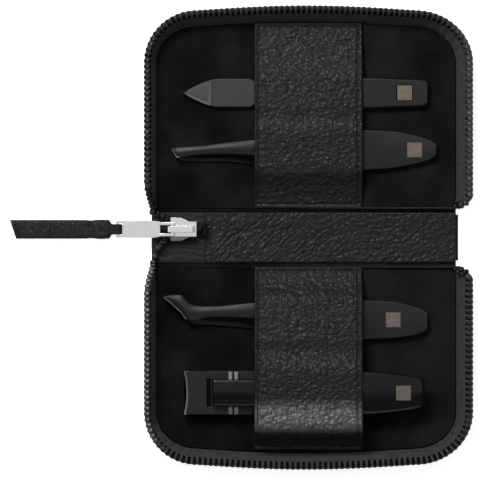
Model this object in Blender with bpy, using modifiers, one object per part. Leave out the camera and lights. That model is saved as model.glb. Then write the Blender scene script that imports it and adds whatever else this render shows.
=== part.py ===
"""Manicure set case: a leather zip case lying open on its back, with four tools under its two bands.

Metres, +Z up. The origin is on the underside, in the middle of the spine. X runs along the spine,
-Y is the lower half and +Y the upper half. The fold lines are at Y = -SPINE_WIDTH / 2 and
+SPINE_WIDTH / 2, and the closing tools, slider and pull have their own empties on their axes.
"""

import math

import bmesh
import bpy
from mathutils import Matrix, Vector

# Clearance between pieces that touch on the real case
GAP = 0.0003

# Case panels
SPINE_WIDTH = 0.0175
FLOOR_LEFT = 0.0520
FLOOR_RIGHT = 0.0504
FLOOR_DEPTH = 0.0648
CORNER_ACROSS = 0.0142
CORNER_DEEP = 0.0126
FAR_EDGE_BOW = 0.0016
COVER_THICKNESS = 0.0008
BOARD_THICKNESS = 0.0008
LINING_THICKNESS = 0.0007
LINING_FOLD_GAP = 0.00015
FOLD_STRIP_HALF = 0.00065

# Walls of zip tape, which lean out from the floor to the zip
WALL_LEAN_LEFT = 0.0029
WALL_LEAN_RIGHT = 0.0046
WALL_LEAN_FAR = 0.0044
TAPE_THICKNESS = 0.0005
RIM_CLEARANCE = 0.00015
WALL_FOLD_GAP = 0.0005
LEFT_END_RISE = 0.0024
LEFT_LOW_RUN = 0.0035
LEFT_CLIMB_RUN = 0.0095
RIGHT_END_RISE = 0.0050
RIGHT_CORNER_ACROSS = 0.0025
RIGHT_CORNER_DEEP = 0.0033
RIGHT_CORNER_START = 0.0052
RIGHT_CORNER_LEAN = 0.0004
RIGHT_CORNER_TURN = math.radians(60)
COVER_RISE_SHARE = 0.62

# Zip teeth
TOOTH_PITCH = 0.0018
TOOTH_WIDTH = 0.0020
TOOTH_WAIST = 0.0011
TOOTH_HEIGHT = 0.0020
STOP_LENGTH = 0.0022
STOP_WIDTH = 0.0024

# Spine and what lies on its left end
SPINE_LEFT = 0.0534
SPINE_RIGHT = 0.0510
SPINE_LINING_LEFT = 0.0349
TAIL_TAPE_MARGIN = 0.0008
ZIP_Y = 0.0028
SLIDER_X = -0.0469
SLIDER_LENGTH = 0.0088
SLIDER_HALF_FORK = 0.00395
SLIDER_HALF_TAIL = 0.0026
SLIDER_SHOULDER = 0.0036
SLIDER_WAIST = 0.0064
SLIDER_PLATE = 0.0007
SLIDER_CHANNEL = 0.0021
SLIDER_FLANGE = 0.0007
SLIDER_SLIT = 0.0009
SLIDER_DIAMOND_HALF = 0.0009
SLIDER_DIAMOND_LENGTH = 0.0034
BRIDGE_WIDTH = 0.0020
BRIDGE_NOSE = 0.0009
BRIDGE_LEG = 0.0010
BRIDGE_BACK_SETBACK = 0.0005
BRIDGE_STRAP = 0.0008
BRIDGE_ROOM = 0.0017
BRIDGE_FOOT = 0.0003
SLIDER_TRAVEL = 0.0015
# Shares of half the spine's width: to the left of the fork, and out from the slider's own line
LOWER_TAIL_SHARES = ((0.0, 0.0), (0.12, 0.08), (0.37, 0.30), (0.50, 0.50))
UPPER_BEND_SHARES = ((0.0, 0.0), (0.14, 0.06), (0.42, 0.25))
JOINED_TEETH_WAIST_SHARE = 0.8
JOINED_TEETH_LENGTH = 0.0022
BOTTOM_STOP_LENGTH = 0.0014
BOTTOM_STOP_WIDTH = 0.0044

# Pull and its leather tab
PULL_DROOP = math.radians(17.2)
PULL_LENGTH = 0.0205
PULL_WIDTH = 0.0057
PULL_THICKNESS = 0.0010
PULL_BAR = 0.0009
PULL_AXIS_IN = 0.0009
PULL_NECK_WIDTH = 0.0049
PULL_NECK_LENGTH = 0.0062
PULL_NECK_STRAIGHT_SHARE = 0.7
PULL_HOLE_LENGTH = 0.0042
PULL_HOLE_WIDTH = 0.0027
PULL_WINDOW_WIDTH = 0.0041
PULL_WINDOW_LENGTH = 0.0016
TAB_LENGTH = 0.0366
TAB_SLANT = 0.0021
TAB_WIDTH = 0.0064
TAB_THICKNESS = 0.0022
TAB_FLOOR_GAP = 0.0001
TAB_LOOP_HALF_WIDTH = 0.00175
TAB_LOOP_WALL = 0.0008
TAB_SHOULDER = 0.0020
TAB_LOOP_SIDES = 20

# Bands
BAND_HALF_WIDTH = 0.0184
BAND_THICKNESS = 0.0011
BAND_NEAR = 0.0012
BAND_FAR_MARGIN = 0.0013
BAND_SLOPE_SHARE = 0.85
BAND_SIDE_ROOM = 0.0006
BAND_STATIONS = 30

# Tools: the room that each has to the tray's left and right walls, and its middle line
INLAY_SIZE = 0.0050
INLAY_THICKNESS = 0.0005
INLAY_POCKET_ROOM = 0.00015
INLAY_PROUD = 0.00005

FILE_LEFT_ROOM = 0.0093
FILE_RIGHT_ROOM = 0.0098
FILE_Y = 0.0492
FILE_BLADE_WIDTH = 0.0095
FILE_BLADE_THICKNESS = 0.0012
FILE_POINT_LENGTH = 0.0118
FILE_SHOULDER_LENGTH = 0.0034
FILE_TANG_WIDTH = 0.0056
FILE_TANG_SHOWN = 0.0043
FILE_TANG_SUNK = 0.0107
FILE_HANDLE_LENGTH = 0.0530
FILE_HANDLE_FRONT_WIDTH = 0.0100
FILE_HANDLE_MIDDLE_WIDTH = 0.0109
FILE_HANDLE_END_WIDTH = 0.0095
FILE_HANDLE_THICKNESS = 0.0030
FILE_INLAY_FROM_END = 0.0079
FILE_EDGE = 0.0007
# Share of the point's length, then share of half the blade's width
FILE_POINT_SHARES = ((0.0, 0.03), (0.2, 0.30), (0.5, 0.65), (0.76, 0.89), (1.0, 1.0))

ARM_THICKNESS = 0.0011
ARM_EDGE = 0.0003
SLANT_LEFT_ROOM = 0.0053
SLANT_RIGHT_ROOM = 0.0070
SLANT_Y = 0.0298
SLANT_HALF_WIDTH = 0.00677
SLANT_OPEN = 0.0021
SLANT_INLAY_FROM_END = 0.0073
# Share of the length from the tip, then low and high edges as shares of half the width
SLANT_UPPER_SHARES = (
    (0.0, 0.02, 0.11),
    (0.026, -0.41, 0.136),
    (0.072, -0.30, 0.17),
    (0.109, -0.25, 0.20),
    (0.211, -0.21, 0.37),
    (0.306, -0.27, 0.50),
    (0.38, -0.40, 0.62),
    (0.449, -0.53, 0.72),
    (0.53, -0.72, 0.84),
    (0.6, -0.87, 0.94),
    (0.66, -0.96, 0.99),
    (0.721, -1.0, 1.0),
    (0.79, -0.96, 0.97),
    (0.853, -0.875, 0.91),
    (0.902, -0.75, 0.78),
    (0.945, -0.62, 0.64),
    (0.975, -0.49, 0.50),
    (1.0, -0.30, 0.31),
)
SLANT_LOWER_SHARES = (
    (0.0, -0.05, 0.09),
    (0.03, -0.55, 0.12),
    (0.06, -0.61, 0.14),
    (0.211, -0.61, 0.33),
    (0.306, -0.73, 0.46),
    (0.38, -0.77, 0.60),
    (0.449, -0.82, 0.70),
    (0.53, -0.88, 0.82),
    (0.6, -0.93, 0.92),
    (0.66, -0.97, 0.98),
    (0.721, -1.0, 1.0),
    (0.79, -0.96, 0.97),
    (0.853, -0.875, 0.91),
    (0.902, -0.75, 0.78),
    (0.945, -0.62, 0.64),
    (0.975, -0.49, 0.50),
    (1.0, -0.30, 0.31),
)
# Share of the length from the tip, then share of the full opening between the arms
OPENING_SHARES = ((0.0, 0.78), (0.03, 0.82), (0.1, 1.0), (0.3, 0.9), (0.55, 0.5), (0.8, 0.1), (0.88, 0.0), (1.0, 0.0))

ANGLED_LEFT_ROOM = 0.0027
ANGLED_RIGHT_ROOM = 0.0100
ANGLED_Y = -0.0280
ANGLED_HALF_WIDTH = 0.00663
ANGLED_OPEN = 0.0021
ANGLED_INLAY_FROM_END = 0.0116
ANGLED_UPPER_SHARES = (
    (0.0, 1.12, 1.22),
    (0.023, 0.90, 1.28),
    (0.044, 0.63, 1.30),
    (0.066, 0.36, 1.28),
    (0.082, 0.06, 1.08),
    (0.102, -0.09, 0.82),
    (0.127, -0.05, 0.72),
    (0.16, 0.08, 0.70),
    (0.195, 0.14, 0.71),
    (0.335, 0.09, 0.87),
    (0.42, -0.18, 0.91),
    (0.48, -0.40, 0.94),
    (0.55, -0.64, 0.97),
    (0.63, -0.85, 1.0),
    (0.69, -0.95, 1.0),
    (0.752, -1.0, 1.0),
    (0.82, -0.97, 0.97),
    (0.877, -0.92, 0.91),
    (0.925, -0.84, 0.78),
    (0.972, -0.70, 0.60),
    (1.0, -0.51, 0.39),
)
ANGLED_LOWER_SHARES = (
    (0.0, 1.02, 1.14),
    (0.023, 0.80, 1.20),
    (0.044, 0.53, 1.22),
    (0.066, 0.26, 1.20),
    (0.082, -0.04, 1.00),
    (0.102, -0.19, 0.74),
    (0.127, -0.26, 0.64),
    (0.195, -0.30, 0.63),
    (0.335, -0.46, 0.79),
    (0.42, -0.60, 0.85),
    (0.48, -0.70, 0.90),
    (0.55, -0.81, 0.94),
    (0.63, -0.92, 0.98),
    (0.69, -0.97, 1.0),
    (0.752, -1.0, 1.0),
    (0.82, -0.97, 0.97),
    (0.877, -0.92, 0.91),
    (0.925, -0.84, 0.78),
    (0.972, -0.70, 0.60),
    (1.0, -0.51, 0.39),
)

CLIPPER_LEFT_ROOM = 0.0097
CLIPPER_RIGHT_ROOM = 0.0127
CLIPPER_Y = -0.0528
CLIPPER_HALF_WIDTH = 0.0074
CLIPPER_LOWER_THICKNESS = 0.0014
CLIPPER_UPPER_THICKNESS = 0.0012
CLIPPER_FRONT_ROOM = 0.0018
CLIPPER_LIP = 0.0062
CLIPPER_CUTTING_GAP = 0.0015
CLIPPER_PIN_FROM_FRONT = 0.0168
CLIPPER_PIN_SPACING = 0.0020
CLIPPER_PIN_RADIUS = 0.00080
CLIPPER_PIN_SIDES = 16
CLIPPER_POST_RADIUS = 0.0013
CLIPPER_HOLE_ROOM = 0.0004
CLIPPER_RIVET_FROM_END = 0.0052
CLIPPER_RIVET_RADIUS = 0.0016
LEVER_NOSE = 0.0072
LEVER_OVERHANG = 0.0018
LEVER_THICKNESS = 0.0012
LEVER_NARROW_HALF = 0.0046
LEVER_WIDE_HALF = 0.00735
LEVER_END_HALF = 0.0047
LEVER_ROOM = 0.0010
CLIPPER_INLAY_FROM_END = 0.0073
# Share of the jaws' length from the front, where their outline is drawn
JAW_SHARES = (0.15, 0.3, 0.5, 0.66, 0.75, 0.83, 0.9, 0.95, 0.98, 1.0)
LIP_BOW_SHARE = 0.22
LIP_TURN_SHARE = 0.6
# Share of half the jaw's width, then share of the lip's bow
LIP_BOW_SHARES = ((-1.0, 0.0), (-0.5, 0.75), (0.0, 1.0), (0.5, 0.75), (1.0, 0.0))
# Share of the lever's length from its front, then share of the way from narrow to wide
LEVER_SPREAD_SHARES = ((0.0, 0.0), (0.24, 0.0), (0.34, 0.12), (0.44, 0.45), (0.54, 0.82), (0.62, 1.0), (0.72, 1.0))
# Share of the way from the widest place to the end, then share of the way from wide to the end width
TAPER_SHARES = ((0.25, 0.10), (0.5, 0.30), (0.7, 0.50), (0.85, 0.70), (0.94, 0.86), (0.98, 1.05), (1.0, 1.35))

# Worked out from the sizes above
FOLD = SPINE_WIDTH / 2
BOARD_LOW = COVER_THICKNESS + GAP
LINING_LOW = BOARD_LOW + BOARD_THICKNESS + GAP
LINING_TOP = LINING_LOW + LINING_THICKNESS
RIM_RISE = FOLD - RIM_CLEARANCE
COVER_EDGE = FOLD_STRIP_HALF + GAP
SLIDER_LOW = LINING_TOP + GAP
SLIDER_HEIGHT = 2 * SLIDER_PLATE + SLIDER_CHANNEL
SLIDER_TOP = SLIDER_LOW + SLIDER_HEIGHT
CHAIN_Z = SLIDER_LOW + SLIDER_HEIGHT / 2
BRIDGE_HOLE_LOW = SLIDER_TOP + BRIDGE_FOOT
PULL_AXIS = Vector((SLIDER_X - BRIDGE_NOSE + BRIDGE_LEG + PULL_AXIS_IN, ZIP_Y, BRIDGE_HOLE_LOW + BRIDGE_ROOM / 2))
PULL_TURN = Matrix.Translation(PULL_AXIS) @ Matrix.Rotation(-PULL_DROOP, 4, "Y")
TAB_BAR_FROM_AXIS = PULL_LENGTH - PULL_BAR / 2
TAB_AXIS = PULL_TURN @ Vector((-TAB_BAR_FROM_AXIS, 0, 0))
TAB_LOOP_BORE = PULL_BAR / 2 + PULL_THICKNESS / 2
TAB_LOOP_RADIUS = TAB_LOOP_BORE + TAB_LOOP_WALL
TOOL_LOW = LINING_TOP + GAP
FILE_TIP_X = FILE_LEFT_ROOM - FLOOR_LEFT
FILE_END_X = FLOOR_RIGHT - FILE_RIGHT_ROOM
SLANT_TIP_X = SLANT_LEFT_ROOM - FLOOR_LEFT
SLANT_END_X = FLOOR_RIGHT - SLANT_RIGHT_ROOM
ANGLED_TIP_X = ANGLED_LEFT_ROOM - FLOOR_LEFT
ANGLED_END_X = FLOOR_RIGHT - ANGLED_RIGHT_ROOM
CLIPPER_FRONT_X = CLIPPER_LEFT_ROOM - FLOOR_LEFT
CLIPPER_REAR_X = FLOOR_RIGHT - CLIPPER_RIGHT_ROOM
CLIPPER_PIN_X = CLIPPER_FRONT_X + CLIPPER_PIN_FROM_FRONT
CLIPPER_RIVET_X = CLIPPER_REAR_X - CLIPPER_RIVET_FROM_END
LEVER_FRONT_X = CLIPPER_PIN_X - LEVER_NOSE
LEVER_END_X = CLIPPER_REAR_X + LEVER_OVERHANG

# Colours (linear), roughness and metallic value
FINISHES = {
    "cover_leather": ((0.012, 0.012, 0.013), 0.55, 0.0),
    "grained_leather": ((0.016, 0.016, 0.017), 0.50, 0.0),
    "stiff_board": ((0.12, 0.11, 0.10), 0.85, 0.0),
    "suede": ((0.010, 0.010, 0.011), 0.95, 0.0),
    "zip_tape": ((0.020, 0.020, 0.021), 0.80, 0.0),
    "zip_metal": ((0.10, 0.10, 0.11), 0.30, 1.0),
    "slider_metal": ((0.72, 0.72, 0.74), 0.22, 1.0),
    "file_abrasive": ((0.055, 0.055, 0.057), 0.70, 0.2),
    "black_steel": ((0.010, 0.010, 0.011), 0.35, 0.6),
    "bright_steel": ((0.60, 0.60, 0.60), 0.25, 1.0),
    "inlay_steel": ((0.30, 0.27, 0.23), 0.40, 1.0),
}

PART = bpy.data.collections.new("manicure_set_case")
CUTTERS = bpy.data.collections.new("cutters")


def clear_scene():
    for item in list(bpy.data.objects):
        bpy.data.objects.remove(item, do_unlink=True)
    bpy.context.scene.collection.children.link(PART)
    bpy.context.scene.collection.children.link(CUTTERS)


def finish_material(name, finish):
    colour, roughness, metallic = FINISHES[finish]
    material = bpy.data.materials.new(name)
    material.use_nodes = True
    shader = material.node_tree.nodes["Principled BSDF"]
    shader.inputs["Base Color"].default_value = (*colour, 1.0)
    shader.inputs["Roughness"].default_value = roughness
    shader.inputs["Metallic"].default_value = metallic
    return material


def axis_empty(name, place, parent=None):
    """An empty on a joint's axis, which carries the pieces that move with that joint."""
    empty = bpy.data.objects.new(name, None)
    empty.empty_display_size = GAP * 10
    empty.location = place if parent is None else Vector(place) - Vector(parent["axis_place"])
    empty["axis_place"] = list(place)
    empty.parent = parent
    PART.objects.link(empty)
    return empty


def add_piece(name, data, finish, carrier):
    """Links a piece whose points are in world coordinates, and hangs it on its carrier's empty."""
    piece = bpy.data.objects.new(name, data)
    data.materials.append(finish_material(name, finish))
    PART.objects.link(piece)
    if carrier is not None:
        piece.parent = carrier
        piece.location = -Vector(carrier["axis_place"])
    return piece


def mesh_from(mesh_builder, name):
    mesh = bpy.data.meshes.new(name)
    mesh_builder.to_mesh(mesh)
    mesh_builder.free()
    return mesh


def loft(name, sections):
    """A closed mesh through loops of equal count, with an end cap on the first and the last."""
    builder = bmesh.new()
    loops = [[builder.verts.new(point) for point in section] for section in sections]
    for near, far in zip(loops, loops[1:]):
        for i in range(len(near)):
            j = (i + 1) % len(near)
            builder.faces.new((near[i], near[j], far[j], far[i]))
    builder.faces.new(loops[0])
    builder.faces.new(loops[-1])
    bmesh.ops.recalc_face_normals(builder, faces=builder.faces)
    return mesh_from(builder, name)


def prism(name, outline, low, high):
    """A flat outline of (x, y) points, extruded from low to high."""
    return loft(name, [[(x, y, z) for x, y in outline] for z in (low, high)])


def box(name, low, high):
    (x0, y0, z0), (x1, y1, z1) = low, high
    return prism(name, ((x0, y0), (x1, y0), (x1, y1), (x0, y1)), z0, z1)


def cylinder(name, centre, radius, length, axis, sides):
    """A round bar about centre, along Z or Y."""
    builder = bmesh.new()
    bmesh.ops.create_cone(
        builder, cap_ends=True, segments=sides, radius1=radius, radius2=radius, depth=length
    )
    turn = Matrix.Rotation(math.radians(90), 4, "X") if axis == "Y" else Matrix.Identity(4)
    bmesh.ops.transform(builder, matrix=Matrix.Translation(centre) @ turn, verts=builder.verts)
    return mesh_from(builder, name)


def slab(name, outline, low, high, finish, carrier):
    """A flat sheet piece: a filled 2D outline with an extrude of half its thickness."""
    curve = bpy.data.curves.new(name, "CURVE")
    curve.dimensions = "2D"
    curve.fill_mode = "BOTH"
    curve.extrude = (high - low) / 2
    spline = curve.splines.new("POLY")
    spline.points.add(len(outline) - 1)
    for point, (x, y) in zip(spline.points, outline):
        point.co = (x, y, 0, 1)
    spline.use_cyclic_u = True
    piece = add_piece(name, curve, finish, carrier)
    piece.location.z += (low + high) / 2
    return piece


def cut(piece, mesh, matrix=None):
    """Cuts a mesh out of a piece, with a cutter kept in its own collection."""
    cutter = bpy.data.objects.new(f"cut_{piece.name}_{len(piece.modifiers)}", mesh)
    if matrix is not None:
        cutter.matrix_world = matrix
    cutter.hide_render = True
    cutter.display_type = "WIRE"
    CUTTERS.objects.link(cutter)
    boolean = piece.modifiers.new("cut", "BOOLEAN")
    boolean.operation = "DIFFERENCE"
    boolean.solver = "EXACT"
    boolean.object = cutter


def join(piece, mesh, matrix=None):
    """Joins a mesh to a piece."""
    cut(piece, mesh, matrix)
    piece.modifiers[-1].name = "join"
    piece.modifiers[-1].operation = "UNION"


def smooth_step(share):
    share = min(max(share, 0.0), 1.0)
    return share * share * (3 - 2 * share)


def table_value(table, share):
    """Reads a table of (share, value) rows, straight between its rows."""
    for (s0, v0), (s1, v1) in zip(table, table[1:]):
        if share <= s1:
            return v0 + (v1 - v0) * (share - s0) / (s1 - s0)
    return table[-1][1]


# Walls: stations along the foot of one half's wall, from the left fold round to the right fold.
# Each has its foot (x, v), how far the wall leans by the rim, its outward direction, and its rise.
# v is the distance from the fold line.


def left_rise(v):
    climb = smooth_step((v - LEFT_LOW_RUN) / LEFT_CLIMB_RUN)
    return LEFT_END_RISE + (RIM_RISE - LEFT_END_RISE) * climb


def wall_stations():
    corner_v = FLOOR_DEPTH - FAR_EDGE_BOW - CORNER_DEEP
    left_x = -(FLOOR_LEFT - CORNER_ACROSS)
    right_x = FLOOR_RIGHT - CORNER_ACROSS
    stations = []

    def station(x, v, out, rise):
        lean_x = WALL_LEAN_LEFT if out.x < 0 else WALL_LEAN_RIGHT
        lean = Vector((out.x * lean_x, out.y * WALL_LEAN_FAR))
        stations.append((Vector((x, v)), lean, out.normalized(), rise))

    left_run = LEFT_LOW_RUN + LEFT_CLIMB_RUN
    low_steps = [WALL_FOLD_GAP, LEFT_LOW_RUN / 2, LEFT_LOW_RUN]
    climb_steps = [LEFT_LOW_RUN + LEFT_CLIMB_RUN * i / 8 for i in range(1, 9)]
    for v in low_steps + climb_steps + [(left_run + corner_v) / 2, corner_v]:
        station(-FLOOR_LEFT, v, Vector((-1, 0)), left_rise(v))
    for i in range(1, 9):
        turn = math.radians(90) * i / 8
        out = Vector((-math.cos(turn), math.sin(turn)))
        station(left_x + CORNER_ACROSS * out.x, corner_v + CORNER_DEEP * out.y, out, RIM_RISE)
    for i in range(1, 10):
        x = left_x + (right_x - left_x) * i / 10
        bow = FAR_EDGE_BOW * math.sin(math.pi * i / 10)
        station(x, corner_v + CORNER_DEEP + bow, Vector((0, 1)), RIM_RISE)
    for i in range(0, 9):
        turn = math.radians(90) * (8 - i) / 8
        out = Vector((math.cos(turn), math.sin(turn)))
        station(right_x + CORNER_ACROSS * out.x, corner_v + CORNER_DEEP * out.y, out, RIM_RISE)
    for i in range(1, 5):
        v = corner_v + (RIGHT_CORNER_START - corner_v) * i / 4
        station(FLOOR_RIGHT, v, Vector((1, 0)), RIM_RISE)
    for i in range(1, 6):
        turn = RIGHT_CORNER_TURN * i / 5
        x = FLOOR_RIGHT - RIGHT_CORNER_ACROSS * (1 - math.cos(turn))
        v = RIGHT_CORNER_START - RIGHT_CORNER_DEEP * math.sin(turn)
        lean = Vector((WALL_LEAN_RIGHT * math.cos(turn), -RIGHT_CORNER_LEAN * math.sin(turn)))
        rise = RIM_RISE + (RIGHT_END_RISE - RIM_RISE) * smooth_step(i / 5)
        stations.append((Vector((x, v)), lean, Vector((math.cos(turn), -math.sin(turn))), rise))
    return stations


def wall_point(station, rise, outward):
    """A point of the leaning wall, a rise above the lining and an offset outward, as (x, v, z)."""
    foot, lean, out, _ = station
    flat = foot + lean * (max(rise, 0.0) / RIM_RISE) + out * outward
    return (flat.x, flat.y, LINING_TOP + rise)


def tape_rise(station):
    return station[3] - TOOTH_HEIGHT - GAP


def blend_stations(a, b, share):
    foot, lean, out = (p.lerp(q, share) for p, q in zip(a[:3], b[:3]))
    return (foot, lean, out.normalized(), a[3] + (b[3] - a[3]) * share)


def even_stations(stations, spacing):
    """Stations at even distances along the rim."""
    rims = [Vector(wall_point(s, s[3], 0)) for s in stations]
    runs = [0.0]
    for a, b in zip(rims, rims[1:]):
        runs.append(runs[-1] + (b - a).length)
    count = round(runs[-1] / spacing)
    found = []
    for k in range(count + 1):
        run = runs[-1] * k / count
        i = next(i for i in range(len(runs) - 1) if run <= runs[i + 1] or i == len(runs) - 2)
        share = (run - runs[i]) / (runs[i + 1] - runs[i])
        found.append(blend_stations(stations[i], stations[i + 1], share))
    return found


def half_place(points, side):
    """Turns (x, v, z) of a half into world points: side -1 is the lower half, +1 the upper."""
    return [(x, side * (FOLD + v), z) for x, v, z in points]


def wall_sheet(name, rows, side, base=None):
    """An open sheet through rows of (x, v, z) points, with an optional flat base on the first row."""
    builder = bmesh.new()
    loops = [[builder.verts.new(p) for p in half_place(row, side)] for row in rows]
    for low, high in zip(loops, loops[1:]):
        for i in range(len(low) - 1):
            builder.faces.new((low[i], low[i + 1], high[i + 1], high[i]))
    if base is not None:
        ends = [builder.verts.new(p) for p in half_place(base, side)]
        builder.faces.new([*loops[0], *ends])
    bmesh.ops.recalc_face_normals(builder, faces=builder.faces)
    builder.normal_update()
    probe = next(f for f in builder.faces if len(f.verts) == 4)
    middle = probe.calc_center_median()
    outward = Vector((middle.x, middle.y - side * (FOLD + FLOOR_DEPTH / 2), 0))
    if probe.normal.dot(outward) < 0:
        bmesh.ops.reverse_faces(builder, faces=builder.faces)
    return mesh_from(builder, name)


def thicken(piece, thickness):
    solidify = piece.modifiers.new("wall", "SOLIDIFY")
    solidify.thickness = thickness
    solidify.offset = 1
    solidify.use_even_offset = True


def outline_on_floor(stations, inset, fold_gap, side):
    points = [wall_point(s, 0, -inset) for s in stations]
    left, right = points[0][0], points[-1][0]
    points = [p for p in points if p[1] > fold_gap]
    closed = [(left, fold_gap, 0), *points, (right, fold_gap, 0)]
    return [(x, y) for x, y, _ in half_place(closed, side)]


def make_cover(half, side, stations, carrier):
    """The outer leather: the floor and the lower part of the walls, in one sheet."""
    outward = TAPE_THICKNESS + GAP
    near = [s for s in stations if s[0].y > COVER_EDGE + outward]
    near[0] = blend_stations(stations[0], near[0], (COVER_EDGE - stations[0][0].y) / (near[0][0].y - stations[0][0].y))
    low = [(x, v, COVER_THICKNESS) for x, v, _ in (wall_point(s, 0, outward) for s in near)]
    middle = [wall_point(s, 0, outward) for s in near]
    top = [wall_point(s, max(tape_rise(s), GAP) * COVER_RISE_SHARE, outward) for s in near]
    base = [(low[-1][0], COVER_EDGE, COVER_THICKNESS)]
    mesh = wall_sheet(f"{half}_cover", (low, middle, top), side, base)
    thicken(add_piece(f"{half}_cover", mesh, "cover_leather", carrier), COVER_THICKNESS)


def make_tape(half, side, stations, carrier):
    """The woven zip tape that makes the inside of the wall, sewn in under the lining's edge."""
    low = [(x, v, BOARD_LOW) for x, v, _ in (wall_point(s, 0, 0) for s in stations)]
    middle = [wall_point(s, 0, 0) for s in stations]
    top = [wall_point(s, max(tape_rise(s), GAP / 3), 0) for s in stations]
    mesh = wall_sheet(f"{half}_zip_tape", (low, middle, top), side)
    thicken(add_piece(f"{half}_zip_tape", mesh, "zip_tape", carrier), TAPE_THICKNESS)


def bead_section(station, width, height, side):
    top = station[3]
    middle = TAPE_THICKNESS / 2
    corners = (
        wall_point(station, top - height, middle - width / 2),
        wall_point(station, top - height, middle + width / 2),
        wall_point(station, top, middle + width / 2),
        wall_point(station, top, middle - width / 2),
    )
    return half_place(corners, side)


def make_teeth(half, side, stations, carrier):
    """The row of metal teeth as one ribbed bead, and the stop clamped on its right end."""
    steps = even_stations(stations, TOOTH_PITCH / 2)
    stop_steps = math.ceil((STOP_LENGTH + GAP) / (TOOTH_PITCH / 2))
    widths = [TOOTH_WIDTH if i % 2 else TOOTH_WAIST for i in range(len(steps))]
    sections = [bead_section(s, w, TOOTH_HEIGHT, side) for s, w in zip(steps, widths)]
    add_piece(f"{half}_zip_teeth", loft(f"{half}_zip_teeth", sections[:-stop_steps]), "zip_metal", carrier)
    before_stop, last = steps[-stop_steps - 1], steps[-1]
    run = (last[0] - before_stop[0]).length
    ends = (blend_stations(before_stop, last, GAP / run), last)
    stop = loft(f"{half}_top_stop", [bead_section(s, STOP_WIDTH, TOOTH_HEIGHT, side) for s in ends])
    add_piece(f"{half}_top_stop", stop, "zip_metal", carrier)


def make_half(half, side, carrier):
    stations = wall_stations()
    make_cover(half, side, stations, carrier)
    board = outline_on_floor(stations, GAP, LINING_FOLD_GAP + GAP, side)
    slab(f"{half}_board", board, BOARD_LOW, BOARD_LOW + BOARD_THICKNESS, "stiff_board", carrier)
    lining = outline_on_floor(stations, GAP, LINING_FOLD_GAP, side)
    slab(f"{half}_lining", lining, LINING_LOW, LINING_TOP, "suede", carrier)
    make_tape(half, side, stations, carrier)
    make_teeth(half, side, stations, carrier)


def make_band(half, side, tools, carrier):
    """The grained leather band, sewn down at both ends, which humps over each tool."""

    def underside(v):
        rise = GAP
        for middle, half_width, top in tools:
            height = top - LINING_TOP
            away = (abs(v - middle) - half_width - BAND_SIDE_ROOM) / (height * BAND_SLOPE_SHARE)
            rise = max(rise, GAP + height * (1 - smooth_step(away)))
        return LINING_TOP + rise

    far = FLOOR_DEPTH - BAND_FAR_MARGIN
    path = [BAND_NEAR + (far - BAND_NEAR) * i / (BAND_STATIONS - 1) for i in range(BAND_STATIONS)]
    step = path[1] - path[0]
    sections = []
    for v in path:
        slope = (underside(v + step / 4) - underside(v - step / 4)) / (step / 2)
        lift = Vector((-slope, 1)).normalized() * BAND_THICKNESS
        low = (v, underside(v))
        high = (v + lift.x, underside(v) + lift.y)
        corners = [(-BAND_HALF_WIDTH, *low), (BAND_HALF_WIDTH, *low)]
        corners += [(BAND_HALF_WIDTH, *high), (-BAND_HALF_WIDTH, *high)]
        sections.append(half_place(corners, side))
    add_piece(f"{half}_band", loft(f"{half}_band", sections), "grained_leather", carrier)


def make_spine(carrier):
    """The spine's own leather, board and grained lining, and the tape patch under the slider."""
    edge = FOLD - COVER_EDGE
    inner = FOLD - LINING_FOLD_GAP
    outline = ((-SPINE_LEFT, -edge), (SPINE_RIGHT, -edge), (SPINE_RIGHT, edge), (-SPINE_LEFT, edge))
    slab("spine_cover", outline, 0, COVER_THICKNESS, "cover_leather", carrier)
    left, right = SPINE_LEFT - TAIL_TAPE_MARGIN, SPINE_RIGHT - TAIL_TAPE_MARGIN
    board = ((-left, -inner + GAP), (right, -inner + GAP), (right, inner - GAP), (-left, inner - GAP))
    slab("spine_board", board, BOARD_LOW, BOARD_LOW + BOARD_THICKNESS, "stiff_board", carrier)
    lining = ((-SPINE_LINING_LEFT, -inner), (right, -inner), (right, inner), (-SPINE_LINING_LEFT, inner))
    slab("spine_lining", lining, LINING_LOW, LINING_TOP, "grained_leather", carrier)
    patch_right = -SPINE_LINING_LEFT - GAP
    patch = ((-left, -inner), (patch_right, -inner), (patch_right, inner), (-left, inner))
    slab("zip_tail_tape", patch, LINING_LOW, LINING_TOP, "zip_tape", carrier)


def make_fold_strips(spine):
    """The outer leather where it bends at each fold line."""
    left, right = SPINE_LEFT - TAIL_TAPE_MARGIN, SPINE_RIGHT - TAIL_TAPE_MARGIN
    for half, side in (("lower", -1), ("upper", 1)):
        y0, y1 = side * FOLD - FOLD_STRIP_HALF, side * FOLD + FOLD_STRIP_HALF
        outline = ((-left, y0), (right, y0), (right, y1), (-left, y1))
        slab(f"{half}_fold_leather", outline, 0, COVER_THICKNESS, "cover_leather", spine)


def chain_sections(points, width, waist):
    """Ribbed sections along a short run of the zip chain, through (x, y, z) points."""
    points = [Vector(p) for p in points]
    runs = [0.0]
    for a, b in zip(points, points[1:]):
        runs.append(runs[-1] + (b - a).length)
    count = max(round(runs[-1] / (TOOTH_PITCH / 2)), 2)
    sections = []
    for k in range(count + 1):
        run = runs[-1] * k / count
        i = next(i for i in range(len(runs) - 1) if run <= runs[i + 1] or i == len(runs) - 2)
        middle = points[i].lerp(points[i + 1], (run - runs[i]) / (runs[i + 1] - runs[i]))
        along = (points[i + 1] - points[i]).normalized()
        across = Vector((-along.y, along.x, 0)).normalized() * (width if k % 2 else waist) / 2
        up = Vector((0, 0, TOOTH_HEIGHT / 2))
        sections.append((middle - across - up, middle + across - up, middle + across + up, middle - across + up))
    return sections


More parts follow.
